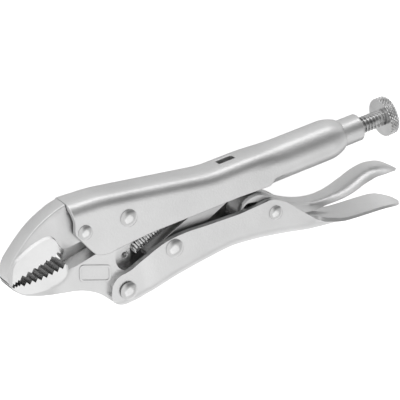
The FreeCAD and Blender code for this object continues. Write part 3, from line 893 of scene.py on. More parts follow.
@dataclass
class ReleaseLever(Pressing):
    """The pressed lever: a curled nose, flanges round the rivet, and a crowned wing."""

    last: int = 9
    narrow: float = 4.2
    wide: float = 5.6
    nose_end: float = 16.5
    tail: float = 58.0
    end: float = 69.8
    end_round: float = 5.4
    corner: float = 1.3  # radius of the bends that turn the flanges down
    corner_from: float = 0.5  # share of the half width where the bend begins, and where it ends
    corner_to: float = 0.72
    crown_power: float = 3.4  # how late the wing's edges fall: 2 is a round arch, and more is flatter
    line: tuple[tuple[float, float], ...] = (
        (9.8, -11.6), (10.9, -9.2), (13.2, -7.1), (16.0, -6.3), (18.6, -6.6), (21.5, -8.3), (24.5, -10.9),
        (28.4, -13.6), (34.0, -16.1), (40.0, -17.2), (46.0, -16.9), (51.5, -15.6), (55.5, -14.3),
        (59.5, -13.7), (63.0, -14.2), (66.5, -15.5), (69.8, -18.0))
    drop: Profile = Profile((
        (13.5, 1.4), (16.0, 8.0), (24.0, 8.5), (27.0, 5.8), (33.0, 3.2), (36.5, 2.8), (41.4, 2.0),
        (46.0, 1.9), (53.0, 2.3), (58.0, 2.6), (63.0, 2.0), (66.0, 1.2), (69.8, 0.4)), 1.0)

    def __post_init__(self) -> None:
        """Work out the columns along the lever."""
        self.spots = Track(self.line).spread(spaced((0.0, 0.45, 34), (0.45, 1.0, 34)))

    def place(self, column: int, row: int) -> Vector:
        """Give the place of a grid point.

        Args:
            column: the column's number, from the nose.
            row: the row's number, counted across both sides.

        Returns:
            The point in the tool frame.
        """
        spot = self.spots[column]
        near = abs(row - self.last) / self.last
        half = mix(self.narrow, self.wide, smooth_step(38.0, 52.0, spot.x))
        if spot.x > self.tail:
            spot = self.spot_at(round_tail(spot.x, near * half, self.tail, self.end,
                                           self.wide - self.end_round, self.end_round))
        drop = self.drop.at(spot.x)
        corner = self.corner
        if near <= self.corner_from:
            z, y = (half - corner) * near / self.corner_from, 0.0
        elif near <= self.corner_to:
            angle = (near - self.corner_from) / (self.corner_to - self.corner_from) * math.pi / 2
            z, y = half - corner + corner * math.sin(angle), -corner * (1 - math.cos(angle))
        else:
            least = corner + 0.05  # a flange is never shorter than its bend
            z, y = half, -mix(corner, max(drop, least), (near - self.corner_to) / (1 - self.corner_to))
        crown = smooth_step(26.0, 52.0, spot.x)
        fall = mix(y, -drop * near ** self.crown_power, crown)
        return Vector((spot.x, spot.y + fall, mix(z, half * near, crown) * self.side(row)))

    def spot_at(self, x: float) -> Vector:
        """Find the lever's middle line at a station.

        Args:
            x: the station.

        Returns:
            The line's point there.
        """
        for a, b in zip(self.spots, self.spots[1:]):
            if x <= b.x:
                return a.lerp(b, max(0.0, (x - a.x) / (b.x - a.x)))
        return self.spots[-1].copy()

    def keep(self, column: int, row: int) -> bool:
        """Say whether a face stays: the nose has no flanges.

        Args:
            column: the face's first column.
            row: the face's first row.

        Returns:
            True if the face stays.
        """
        return not (self.spots[column].x < self.nose_end and self.from_middle(row) / self.last > 0.7)

    def shape(self) -> bmesh.types.BMesh:
        """Make the pressing's outside sheet, facing up and out."""
        return self.sheet(len(self.spots), lambda p: Vector((0.0, 1.0, 0.3 * p.z)))


# ---- forged pieces -----------------------------------------------------------------------------------
class Surface(IntEnum):
    """The surfaces of a forging, in the order of its finishes."""

    FORGED = 0
    PAD = 1
    TEETH = 2


@dataclass
class Forging(Piece):
    """A forged plate, the same on both faces, spanned between an inner line and an outer line."""

    tip: Vector = field(default_factory=Vector)
    row_end: Vector = field(default_factory=Vector)
    tooth_reach: float = 2.2  # the teeth's flanks lie within this of the straight line along the row

    def lines(self) -> list[list[Vector]]:
        """Give one face of the forging as columns of points."""
        raise NotImplementedError

    def dress(self, column: int, row: int) -> Surface:
        """Say which surface a face belongs to."""
        raise NotImplementedError

    def shape(self) -> bmesh.types.BMesh:
        """Make the forging: one face, thickened to its mirror image.

        Returns:
            The closed solid in the tool frame.
        """
        columns = self.lines()
        solid = grid(len(columns), len(columns[0]), lambda c, r: columns[c][r], None, self.dress)
        close_mirrored(solid)
        self.mark_teeth(solid)
        return solid

    def mark_teeth(self, solid: bmesh.types.BMesh) -> None:
        """Give the flanks of the teeth their own, darker finish: painted shade down in the gullets.

        Args:
            solid: the forging.
        """
        for face in solid.faces:
            spot = face.calc_center_median()
            row = mix(self.tip.y, self.row_end.y, (spot.x - self.tip.x) / (self.row_end.x - self.tip.x))
            across = abs(face.normal.z) < 0.5
            along = self.tip.x + 0.05 < spot.x < self.row_end.x + 0.1
            if across and along and abs(spot.y - row) < self.tooth_reach:
                face.material_index = Surface.TEETH


def teeth(start: Vector, end: Vector, count: int, depth: float, sag: float = 0.0) -> list[Vector]:
    """List the crests and roots of a row of teeth.

    Args:
        start: the first crest.
        end: the crest that would follow the last tooth.
        count: number of teeth.
        depth: how far a root lies above the crests; negative is below.
        sag: how far the row's middle lies above the straight line.

    Returns:
        Crest, root, crest, root and so on, without the end.
    """
    points = []
    for i in range(2 * count):
        share = i / (2 * count)
        spot = start.lerp(end, share)
        spot.y += 4 * sag * share * (1 - share) + (depth if i % 2 else 0.0)
        points.append(spot)
    return points


@dataclass
class UpperJaw(Forging):
    """The forged upper jaw: leaning flanks, a ground pad over the teeth, and one half of the cutter."""

    half: float = 4.35  # half the thickness at the pad and the cutter
    foot_half: tuple[float, float] = (3.45, 3.6)  # the same just behind the pad, at its front and its back
    back_half: float = 3.3  # the same along the back
    back_round: float = 0.55
    pad_foot: float = 0.6  # how far the step down from the pad reaches
    back_turns: tuple[float, ...] = (0.0, 24.0, 48.0, 70.0)  # degrees round the back's rounded edge
    flank_shares: tuple[float, ...] = (0.0, 0.2, 0.4, 0.6, 0.8, 1.0)
    pad_shares: tuple[float, ...] = (0.0, 0.12, 0.4, 0.7, 1.0)
    tip: Vector = field(default_factory=lambda: Vector((-66.4, -4.62)))
    step: Vector = field(default_factory=lambda: Vector((-63.7, -3.7)))
    row_end: Vector = field(default_factory=lambda: Vector((-49.5, -0.45)))
    back: Track = Track((
        (-66.6, -4.3), (-67.0, -3.3), (-67.05, -2.2), (-66.65, -0.9), (-65.3, 1.4), (-63.3, 3.4),
        (-61.2, 5.2), (-59.1, 6.9), (-57.2, 8.3), (-55.3, 9.5), (-53.4, 10.5), (-51.6, 11.3),
        (-49.7, 12.05), (-47.9, 12.7), (-46.2, 13.15), (-44.55, 13.45)))
    pad: Track = Track((
        (-66.3, -4.3), (-65.9, -2.8), (-65.3, -0.7), (-64.6, 0.9), (-63.0, 2.3), (-59.0, 4.1),
        (-56.4, 4.95), (-53.1, 5.5), (-51.2, 5.2), (-50.2, 4.1), (-49.6, 2.1), (-48.3, 0.4)))
    cutter: tuple[tuple[float, float], ...] = ((-48.1, -4.9), (-46.5, -4.62), (-44.5, -4.27), (-42.5, -3.91),
                                               (-40.5, -3.56), (-38.4, -3.2), (-36.0, -3.2))
    # behind the handle's front edge: X and Y of the back
    hidden: tuple[tuple[float, float], ...] = ((-44.45, 11.3), (-43.2, 11.2), (-42.0, 11.15), (-40.5, 11.1),
                                               (-38.4, 11.0), (-36.0, 10.9))

    def lines(self) -> list[list[Vector]]:
        """Give one face of the forging as columns of points.

        Returns:
            The columns, from the nose to the part inside the handle.
        """
        inner = teeth(self.tip, self.step, 3, 0.6) + teeth(self.step, self.row_end, 7, 1.1)
        inner += [self.row_end, Vector((-49.1, -1.6)), Vector((-48.6, -3.2))]
        shown = len(inner)
        inner += [Vector(p) for p in self.cutter]
        runs = [0.0]
        for a, b in zip(inner[:shown], inner[1:shown + 1]):
            runs.append(runs[-1] + abs(b.x - a.x) + 0.25 * abs(b.y - a.y))
        shares = [run / runs[-1] for run in runs[:shown]]
        backs = self.back.spread([0.94 * share ** 0.9 for share in shares] + [1.0])
        backs += [Vector(p) for p in self.hidden]
        pads = self.pad.spread(shares + [1.0])
        for i, (x, _) in enumerate(self.hidden):
            pads.append(Vector((mix(inner[shown + 1 + i].x, x, 0.3), 0.55 + 0.17 * i)))
        return [self.column(low, high, ridge, smooth_step(shown - 3.5, shown + 0.5, i))
                for i, (low, high, ridge) in enumerate(zip(inner, backs, pads))]

    def column(self, low: Vector, high: Vector, ridge: Vector, cut: float) -> list[Vector]:
        """Give one column of points, from the back to the teeth or the cutting edge.

        Args:
            low: the inner end.
            high: the end at the back.
            ridge: where the pad or the cutter's bevel begins.
            cut: 0 over the teeth, 1 over the cutter.

        Returns:
            The column's points.
        """
        foot_z = mix(mix(*self.foot_half, smooth_step(-62.0, -53.0, ridge.x)), self.half, cut)
        along = (high - ridge).normalized()
        foot = ridge + along * mix(self.pad_foot, 0.02, cut)
        points = []
        for degrees in self.back_turns:
            turn = math.radians(degrees)
            spot = high - along * (self.back_round * (1 - math.cos(turn)))
            points.append(Vector((spot.x, spot.y, self.back_half - self.back_round * (1 - math.sin(turn)))))
        high = high - along * self.back_round
        for share in self.flank_shares:
            spot = high.lerp(foot, share)
            points.append(Vector((spot.x, spot.y, mix(self.back_half, foot_z, share))))
        for share in self.pad_shares:
            spot = ridge.lerp(low, share)
            bevel_z = mix(self.half, THIN, share)
            points.append(Vector((spot.x, spot.y, mix(self.half, bevel_z, cut))))
        return points

    def dress(self, column: int, row: int) -> Surface:
        """Say which surface a face belongs to: the ground pad is nearest the teeth.

        Args:
            column: the face's first column.
            row: the face's first row, counted from the back.

        Returns:
            The surface.
        """
        return Surface.PAD if row >= len(self.back_turns) + len(self.flank_shares) else Surface.FORGED


@dataclass
class LowerJaw(Forging):
    """The forged moving jaw: a hollow toothed row, the other half of the cutter, hub, notch and lug."""

    half: float = 4.35  # half the thickness at the teeth
    flat: float = 4.13  # the same over the body
    thin: float = 3.5  # the same along the underside of the nose
    tip: Vector = field(default_factory=lambda: Vector((-66.4, -4.8)))
    step: Vector = field(default_factory=lambda: Vector((-63.7, -4.8)))
    row_end: Vector = field(default_factory=lambda: Vector((-49.0, -4.1)))
    under: Track = Track((
        (-66.75, -5.2), (-66.4, -6.0), (-65.3, -7.2), (-64.1, -8.5), (-62.8, -9.45), (-61.2, -10.2),
        (-59.1, -11.1), (-57.0, -11.8), (-54.8, -12.4), (-52.5, -12.85), (-50.3, -13.3), (-48.0, -13.8),
        (-45.8, -14.5), (-43.7, -15.5), (-41.6, -16.8), (-39.6, -18.5), (-37.7, -20.7), (-35.8, -22.8),
        (-33.8, -24.1), (-31.7, -24.4)))
    nose_points: int = 12  # how many points of the underside belong to the toothed front
    pad: Track = Track((
        (-66.5, -5.15), (-65.4, -6.7), (-63.6, -8.2), (-60.5, -9.3), (-56.5, -9.75), (-52.5, -9.5),
        (-49.8, -8.4), (-48.2, -6.4)))
    steps: int = 12
    pad_rows: int = 6
    bevel: float = 1.6
    edge_line: tuple[tuple[float, float], ...] = ((-47.85, -5.06), (-45.4, -4.63), (-42.8, -4.17),
                                                  (-40.2, -3.7), (-37.0, -3.15))
    hub: Track = Track((
        (-36.2, -3.4), (-34.0, -2.0), (-33.2, 1.2), (-32.2, 6.0), (-29.6, 8.8), (-26.8, 9.3), (-23.7, 8.4),
        (-21.5, 6.0), (-21.1, 2.4), (-22.0, -1.2), (-23.8, -4.0)))
    notch: Track = Track((
        (-23.8, -4.0), (-25.6, -5.0), (-28.4, -5.1), (-30.9, -5.6), (-32.3, -7.2), (-33.0, -9.6),
        (-32.5, -12.0), (-30.7, -13.8), (-28.7, -14.6), (-27.2, -16.4), (-26.8, -19.4), (-27.9, -22.5),
        (-30.0, -24.0), (-31.7, -24.4)))

    def lines(self) -> list[list[Vector]]:
        """Give the toothed front of one face as columns of points.

        Returns:
            The columns, from the nose to the start of the cutter.
        """
        inner = teeth(self.tip, self.step, 3, -0.6) + teeth(self.step, self.row_end, 8, -1.1, -0.65)
        inner += [self.row_end, Vector((-48.5, -4.6)), Vector((-48.1, -5.1))]
        shares = [i / (len(inner) - 1) for i in range(len(inner))]
        under = Track(self.under.points[:self.nose_points]).spread([share ** 1.05 for share in shares])
        pads = self.pad.spread(shares)
        return [self.column(high, low, ridge) for high, low, ridge in zip(inner, under, pads)]

    def column(self, high: Vector, low: Vector, ridge: Vector) -> list[Vector]:
        """Give one column of points, from the teeth down to the underside.

        Args:
            high: the end at the teeth.
            low: the end on the underside.
            ridge: where the ground pad ends.

        Returns:
            The column's points.
        """
        points = []
        past = self.steps - self.pad_rows
        level = smooth_step(-56.0, -48.3, high.x)
        pad_z = self.flat if high.x > -48.2 else self.half  # the last column joins the body
        for k in range(self.pad_rows + 1):
            spot = high.lerp(ridge, k / self.pad_rows)
            points.append(Vector((spot.x, spot.y, pad_z)))
        for k in range(1, past + 1):
            spot = ridge.lerp(low, k / past)
            fall = 0.0 if k == 1 else (k / past) ** 2
            points.append(Vector((spot.x, spot.y, mix(mix(self.flat, self.thin, fall), self.flat, level))))
        return points

    def shape(self) -> bmesh.types.BMesh:
        """Make the forging: toothed front, cutter's bevel and flat body, thickened to their mirror image.

        Returns:
            The closed solid in the tool frame.
        """
        columns = self.lines()
        solid = grid(len(columns), len(columns[0]), lambda c, r: columns[c][r], None, self.dress)
        last = columns[-1]
        edge = [Vector((x, y, THIN)) for x, y in self.edge_line]
        ridge = [last[self.pad_rows]] + [Vector((p.x, p.y - self.bevel, self.flat)) for p in edge[1:]]
        fillet = [solid.verts.new(p) for p in (*last[:self.pad_rows + 1], edge[0])]
        solid.faces.new(fillet)
        lower = [solid.verts.new(p) for p in ridge]
        strip = [solid.edges.new(pair) for pair in zip(lower, lower[1:])]
        for vert in new_verts(bmesh.ops.extrude_edge_only(solid, edges=strip)):
            nearest = min(range(len(ridge)), key=lambda k: (ridge[k] - vert.co).length)
            vert.co = edge[nearest]
        hub = self.hub.spread([i / 30 for i in range(31)])
        notch = self.notch.spread([i / 40 for i in range(1, 41)])
        under = Track(self.under.points[self.nose_points - 1:]).spread([i / 20 for i in range(1, 20)])[::-1]
        outline = [Vector((p.x, p.y, self.flat)) for p in (*hub, *notch, *under)]
        behind = edge[-1].x + 0.3  # the bevel ends in a small wall here
        heel = solid.verts.new(Vector((behind, edge[-1].y, self.flat)))
        tail = solid.verts.new(Vector((behind, edge[-1].y, THIN)))
        top = [v for v in solid.verts if (v.co - edge[-1]).length < MERGE][0]
        solid.faces.new([lower[-1], heel, tail, top])
        rim = [solid.verts.new(p) for p in reversed(last[self.pad_rows + 1:])]
        ring = [solid.verts.new(p) for p in outline]
        solid.faces.new(lower + [heel] + ring + rim)
        bmesh.ops.remove_doubles(solid, verts=solid.verts[:], dist=MERGE)
        bmesh.ops.recalc_face_normals(solid, faces=solid.faces[:])
        close_mirrored(solid)
        self.mark_teeth(solid)
        return solid

    def dress(self, column: int, row: int) -> Surface:
        """Say which surface a face belongs to: the ground pad is nearest the teeth.

        Args:
            column: the face's first column.
            row: the face's first row, counted from the teeth.

        Returns:
            The surface.
        """
        return Surface.PAD if row < self.pad_rows else Surface.FORGED


@dataclass
class RaisedFrame(Piece):
    """The plain raised frame on the side of the lower jaw, left bare inside."""

    centre: Vector = field(default_factory=lambda: Vector((-40.23, -10.9, 0.0)))
    along: Vector = field(default_factory=lambda: Vector((4.94, -1.97, 0.0)))
    up: Vector = field(default_factory=lambda: Vector((0.5, 2.7, 0.0)))
    base: float = 4.0  # Z of its underside, a little inside the jaw
    rise: float = 0.42
    border: float = 0.7
    round: float = 1.3  # radius of its outer corners

    def outline(self, inset: float) -> list[tuple[float, float]]:
        """Give the frame's rounded outline, closed.

        Args:
            inset: how far inside the outer outline it runs.

        Returns:
            Points (x, y), the last beside the first.
        """
        along = self.along * (1 - inset / self.along.length)
        up = self.up * (1 - inset / self.up.length)
        corners = [self.centre - along + up, self.centre + along + up, self.centre + along - up,
                   self.centre - along - up]
        start = tuple(((corners[0] + corners[-1]) / 2)[:2])
        return rounded([start] + [(p.x, p.y, self.round - inset * 0.7) for p in corners] + [start])[:-1]

    def shape(self) -> bmesh.types.BMesh:
        """Make the frame: a band between two rounded outlines, raised.

        Returns:
            The frame in the tool frame.
        """
        ring = bmesh.new()
        loops = []
        for inset in (0.0, self.border):
            verts = [ring.verts.new((x, y, self.base)) for x, y in self.outline(inset)]
            loops += [ring.edges.new(pair) for pair in zip(verts, verts[1:] + verts[:1])]
        bmesh.ops.bridge_loops(ring, edges=loops)
        for vert in new_verts(bmesh.ops.extrude_face_region(ring, geom=ring.faces[:], use_keep_orig=True)):
            vert.co.z += self.rise
        bmesh.ops.recalc_face_normals(ring, faces=ring.faces[:])
        return ring


# ---- small turned, wound and blanked pieces ----------------------------------------------------------
@dataclass
class Rivet(Piece):
    """A rivet with a domed head on each side."""

    centre: tuple[float, float] = (0.0, 0.0)
    shank: float = 2.4
    head: float = 2.8
    height: float = 1.0
    cheek: float = 6.4  # half the width over the cheeks that it holds
    sunk: float = 0.02  # the heads start this far inside the cheeks, so that no gap shows
    rim: float = 0.3  # the share of a head's height that is straight

    def shape(self) -> bmesh.types.BMesh:
        """Make the rivet by spinning half its outline.

        Returns:
            The closed rivet in the tool frame.
        """
        rim = self.height * self.rim
        foot = self.cheek - self.sunk
        half = [(foot, self.shank), (foot, self.head), (self.cheek + rim, self.head)]
        for i in range(1, 13):
            share = 1 - i / 12
            half.append((self.cheek + rim + (self.height - rim) * (1 - share ** 3.0), self.head * share))
        line = [(-x, r) for x, r in reversed(half)] + half
        solid = turned(line, 48)
        upright = Matrix.Rotation(math.radians(-90), 3, "Y")
        bmesh.ops.rotate(solid, cent=(0, 0, 0), matrix=upright, verts=solid.verts)
        bmesh.ops.translate(solid, vec=(*self.centre, 0.0), verts=solid.verts)
        return solid


@dataclass
class ToggleLink(Piece):
    """The blanked link between the toggle rivet and the screw's nose."""

    tip: tuple[float, float] = (12.1, -0.7)
    eye: float = 3.1
    end: float = 2.6
    toe: tuple[float, float] = (-19.2, -13.4)
    toe_radius: float = 1.9
    half: float = 3.5

    def shape(self) -> bmesh.types.BMesh:
        """Make the link as the hull of its eye, its far end and its toe.

        Returns:
            The closed link in the tool frame.
        """
        solid = bmesh.new()
        ends = ((TOGGLE_PIVOT, self.eye), (self.tip, self.end), (self.toe, self.toe_radius))
        for (x, y), radius in ends:
            for z in (-self.half, self.half):
                bmesh.ops.create_circle(solid, segments=40, radius=radius,
                                        matrix=Matrix.Translation((x, y, z)))
        hull = bmesh.ops.convex_hull(solid, input=solid.verts[:])
        inside = [item for item in hull["geom_interior"] if isinstance(item, bmesh.types.BMVert)]
        bmesh.ops.delete(solid, geom=inside, context="VERTS")
        bmesh.ops.dissolve_limit(solid, angle_limit=math.radians(1), verts=solid.verts[:],
                                 edges=solid.edges[:])
        bmesh.ops.recalc_face_normals(solid, faces=solid.faces[:])
        return solid


@dataclass
class AdjustingScrew(Piece):
    """The screw, with a true right-hand thread."""

    start: float = 22.5
    root: float = 2.15
    crest: float = 2.7
    pitch: float = 1.2
    neck: float = 67.7  # where the thread ends, just inside the knob
    steps: int = 28  # to a turn

    def shape(self) -> bmesh.types.BMesh:
        """Make the thread by spinning one pitch of its outline along the axis, and close it at both ends.

        Returns:
            The closed screw in the tool frame.
        """
        solid = bmesh.new()
        begin = self.start - self.pitch  # the first turn is cut off again, so that the start is square
        outline = [(0.0, self.root), (0.12, self.root), (0.5, self.crest), (0.74, self.crest),
                   (1.08, self.root), (self.pitch, self.root)]
        verts = [solid.verts.new((begin + x, radius, 0.0)) for x, radius in outline]
        edges = [solid.edges.new(pair) for pair in zip(verts, verts[1:])]
        turns = math.ceil((self.neck - begin) / self.pitch) + 1
        bmesh.ops.spin(solid, geom=verts + edges, cent=(0, 0, 0), axis=(1, 0, 0),
                       dvec=(self.pitch / self.steps, 0, 0), angle=math.tau * turns, steps=self.steps * turns,
                       use_merge=False, use_duplicate=False)
        bmesh.ops.remove_doubles(solid, verts=solid.verts[:], dist=MERGE)
        for x, side in ((self.start, -1), (self.neck, 1)):
            bmesh.ops.bisect_plane(solid, geom=solid.verts[:] + solid.edges[:] + solid.faces[:],
                                   plane_co=(x, 0, 0), plane_no=(side, 0, 0), clear_outer=True)
            rim = [edge for edge in solid.edges
                   if edge.is_boundary and all(abs(vert.co.x - x) < MERGE for vert in edge.verts)]
            bmesh.ops.edgeloop_fill(solid, edges=rim)
        bmesh.ops.recalc_face_normals(solid, faces=solid.faces[:])
        return solid


@dataclass
class Knob(Piece):
    """The screw's head, with a diamond knurl round its rim and a shallow dish in its outer face."""

    face: float = KNOB_FACE
    radius: float = 6.35
    thickness: float = 3.1
    chamfer: float = 0.25
    dish: float = 0.12
    dish_edge: tuple[float, float] = (3.8, 4.2)  # radius at the dish's floor and at its top
    rim_rows: int = 16
    diamonds: int = 32  # round the rim
    knurl: float = 0.55  # depth of its grooves
    land: float = 1.15  # above 1, the diamonds keep a small flat top

    def shape(self) -> bmesh.types.BMesh:
        """Make the knob by spinning its outline, then press the knurl into its rim.

        Returns:
            The closed knob in the tool frame.
        """
        back = self.face + self.thickness
        low, high = self.face + self.chamfer, back - self.chamfer
        line = [(self.face, radius) for radius in (0.0, 3.2, 4.6, self.radius - self.chamfer)]
        line += [(mix(low, high, i / self.rim_rows), self.radius) for i in range(self.rim_rows + 1)]
        line += [(back, self.radius - self.chamfer), (back, self.dish_edge[1])]
        line += [(back - self.dish, radius) for radius in (self.dish_edge[0], 0.0)]
        solid = turned(line, self.diamonds * 8)
        for vert in solid.verts:
            x, y, z = vert.co
            reach = math.hypot(y, z)
            if reach < self.radius - 0.1:  # only the rim is knurled
                continue
            round_share = math.atan2(z, y) / math.tau * self.diamonds
            across = (x - low) / (math.tau * self.radius / self.diamonds)
            depth = max(self.groove(round_share + across), self.groove(round_share - across))
            scale = (self.radius - self.knurl * depth) / reach
            vert.co.y *= scale
            vert.co.z *= scale
        # the knurl's faces take the darker finish: painted shade for its grooves
        for face in solid.faces:
            spot = face.calc_center_median()
            if low < spot.x < high and math.hypot(spot.y, spot.z) > self.radius - 2 * self.knurl:
                face.material_index = self.finishes.index(Finish.CUT)
        return solid

    def groove(self, share: float) -> float:
        """Give the depth of one family of grooves.

        Args:
            share: the place across the grooves, counted in grooves.

        Returns:
            1 at the bottom of a groove, 0 on the land between two.
        """
        off = abs(share - round(share)) * 2
        return max(0.0, 1 - off * self.land)


@dataclass
class JawSpring(Piece):
    """The extension spring that opens the jaw, with a hook at each end."""

    front: tuple[float, float] = (-28.4, -10.5)
    rear: tuple[float, float] = (6.3, 1.9)
    radius: float = 2.45
    wire: float = 0.45  # half the wire's diameter
    turns: int = 26
    steps: int = 20  # to a turn
    hook: float = 1.6  # radius of a hook's bend
    hook_in: float = 1.5  # how far its centre lies inside its anchor
    hook_turn: float = 250.0
    gap: float = 1.04  # pitch of the closed coils, in wires
    slack_front: float = 0.24  # share of the free length that is in front of the coil
    run_out: float = 4.0  # how far before the rear anchor the wire is back on the axis
    taper: int = 6  # steps over which the end coils close in
    least: float = 0.35  # share of the radius that they close in to

    def path(self) -> list[Vector]:
        """Give the wire's centre line.

        Returns:
            Points from the front hook, through the coil, to the rear hook.
        """
        front, rear = Vector((*self.front, 0.0)), Vector((*self.rear, 0.0))
        along = (rear - front).normalized()
        side = Vector((-along.y, along.x, 0.0))
        up = Vector((0.0, 0.0, 1.0))
        reach = (rear - front).length
        coil = 2 * self.wire * self.turns * self.gap
        begin = (reach - coil) * self.slack_front
        mean = self.radius - self.wire
        bend = [self.hook_turn * i / 12 for i in range(13)]
        line = [front + self.bent(along, up, degrees - self.hook_turn) + along * self.hook_in
                for degrees in bend]
        count = self.turns * self.steps
        for i in range(count + 1):
            angle = math.tau * i / self.steps
            grow = max(self.least, min(1.0, i / self.taper, (count - i) / self.taper))
            spot = front + along * (begin + coil * i / count)
            line.append(spot + (side * math.cos(angle) + up * math.sin(angle)) * mean * grow)
        line.append(rear - along * self.run_out)
        line += [rear + self.bent(along, up, 180.0 - degrees) - along * self.hook_in for degrees in bend]
        return line

    def bent(self, along: Vector, up: Vector, degrees: float) -> Vector:
        """Give a point of a hook's bend.

        Args:
            along: the spring's direction.
            up: the direction square to it that the hook bends in.
            degrees: how far round the bend the point is.

        Returns:
            The point, seen from the bend's centre.
        """
        angle = math.radians(degrees)
        return (along * math.cos(angle) + up * math.sin(angle)) * self.hook

    def shape(self) -> bmesh.types.BMesh:
        """Sweep the wire's round section along its centre line.

        Returns:
            The closed wire in the tool frame.
        """
        line = self.path()
        solid = bmesh.new()
        bmesh.ops.create_circle(solid, segments=8, radius=self.wire, cap_ends=False)
        ring = solid.edges[:]
        heading = Vector((0.0, 0.0, 1.0))
        first = heading.rotation_difference((line[1] - line[0]).normalized()).to_matrix()
        bmesh.ops.rotate(solid, cent=(0, 0, 0), matrix=first, verts=solid.verts)
        bmesh.ops.translate(solid, vec=line[0], verts=solid.verts)
        solid.faces.new(list(solid.verts))
        heading = (line[1] - line[0]).normalized()
        for i in range(1, len(line)):
            made = bmesh.ops.extrude_edge_only(solid, edges=ring)
            ring = [item for item in made["geom"] if isinstance(item, bmesh.types.BMEdge)]
            verts = new_verts(made)
            ahead = (line[min(i + 1, len(line) - 1)] - line[i - 1]).normalized()
            turn = heading.rotation_difference(ahead).to_matrix()
            bmesh.ops.translate(solid, vec=line[i] - line[i - 1], verts=verts)
            bmesh.ops.rotate(solid, cent=line[i], matrix=turn, verts=verts)
            heading = ahead
        bmesh.ops.edgeloop_fill(solid, edges=ring)
        bmesh.ops.recalc_face_normals(solid, faces=solid.faces[:])
        return solid

    def attach(self, made: bpy.types.Object) -> None:
        """Bake the spring's place into its mesh and hide the nodes it stands for.

        Args:
            made: the spring's object.
        """
        start = TO_ROW @ Vector((*self.rear, 0.0))
        end = TO_ROW @ Vector((*self.front, 0.0))
        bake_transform(made)
        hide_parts(*self.nodes)


@dataclass
class HookPlate(Piece):
    """A thin plate that a spring hook passes through: the web in the jaw, or the tab in the handle."""

    outline: tuple[tuple[float, float], ...] = ()
    hole: tuple[float, float] = (0.0, 0.0)
    hole_radius: float = 0.85
    half: float = 1.0

    def shape(self) -> bmesh.types.BMesh:
        """Make the plate from its outline and its hole.

        Returns:
            The closed plate in the tool frame.
        """
        solid = bmesh.new()
        ring = [solid.verts.new((x, y, self.half)) for x, y in self.outline]
        for pair in zip(ring, ring[1:] + ring[:1]):
            solid.edges.new(pair)
        bmesh.ops.create_circle(solid, segments=24, radius=self.hole_radius, cap_ends=False,
                                matrix=Matrix.Translation((*self.hole, self.half)))
        bmesh.ops.triangle_fill(solid, use_beauty=True, use_dissolve=False, edges=solid.edges[:],
                                normal=(0, 0, 1))
        close_mirrored(solid)
        return solid


# ---- studio ------------------------------------------------------------------------------------------
@dataclass(frozen=True)
class Lamp:
    """A soft rectangular lamp that faces the tool: its place and sides in metres, its power in watts."""

    name: str
    place: tuple[float, float, float]
    size: tuple[float, float]
    power: float

    def hang(self) -> None:
        """Hang the lamp."""
        data = bpy.data.lights.new(self.name, "AREA")
        data.shape = "RECTANGLE"
        data.size, data.size_y = self.size
        data.energy = self.power
        made = bpy.data.objects.new(self.name, data)
        bpy.context.scene.collection.objects.link(made)
        made.location = self.place
        made.rotation_euler = (-Vector(self.place)).to_track_quat("-Z", "Y").to_euler()


@dataclass
class Camera:
    """The camera: its angles in radians, and its distance and aim in millimetres in the tool frame."""

    turn: float = math.radians(25.267)
    lift: float = math.radians(24.745)
    roll: float = math.radians(10.664)
    distance: float = 600.0
    aim: tuple[float, float, float] = (0.0, -3.3, 0.0)
    lens: float = 177.1
    sensor: float = 36.0
    clip_end: float = 10.0

    def view(self) -> Vector:
        """Give the direction from the tool to the camera."""
        return Vector((-math.sin(self.turn) * math.cos(self.lift), math.sin(self.lift),
                       math.cos(self.turn) * math.cos(self.lift)))

    def set_up(self) -> None:
        """Place the camera and make it the scene's own."""
        view = self.view()
        up = (Vector((0.0, 1.0, 0.0)) - view * view.y).normalized()
        right = up.cross(view)
        side = right * math.cos(self.roll) - up * math.sin(self.roll)
        top = right * math.sin(self.roll) + up * math.cos(self.roll)
        data = bpy.data.cameras.new("camera")
        data.lens = self.lens
        data.sensor_width = self.sensor
        data.clip_end = self.clip_end
        made = bpy.data.objects.new("camera", data)
        bpy.context.scene.collection.objects.link(made)
        place = Matrix((side, top, view)).transposed().to_4x4()
        place.translation = TO_ROW @ (Vector(self.aim) + view * self.distance)
        made.matrix_world = place
        bpy.context.scene.camera = made


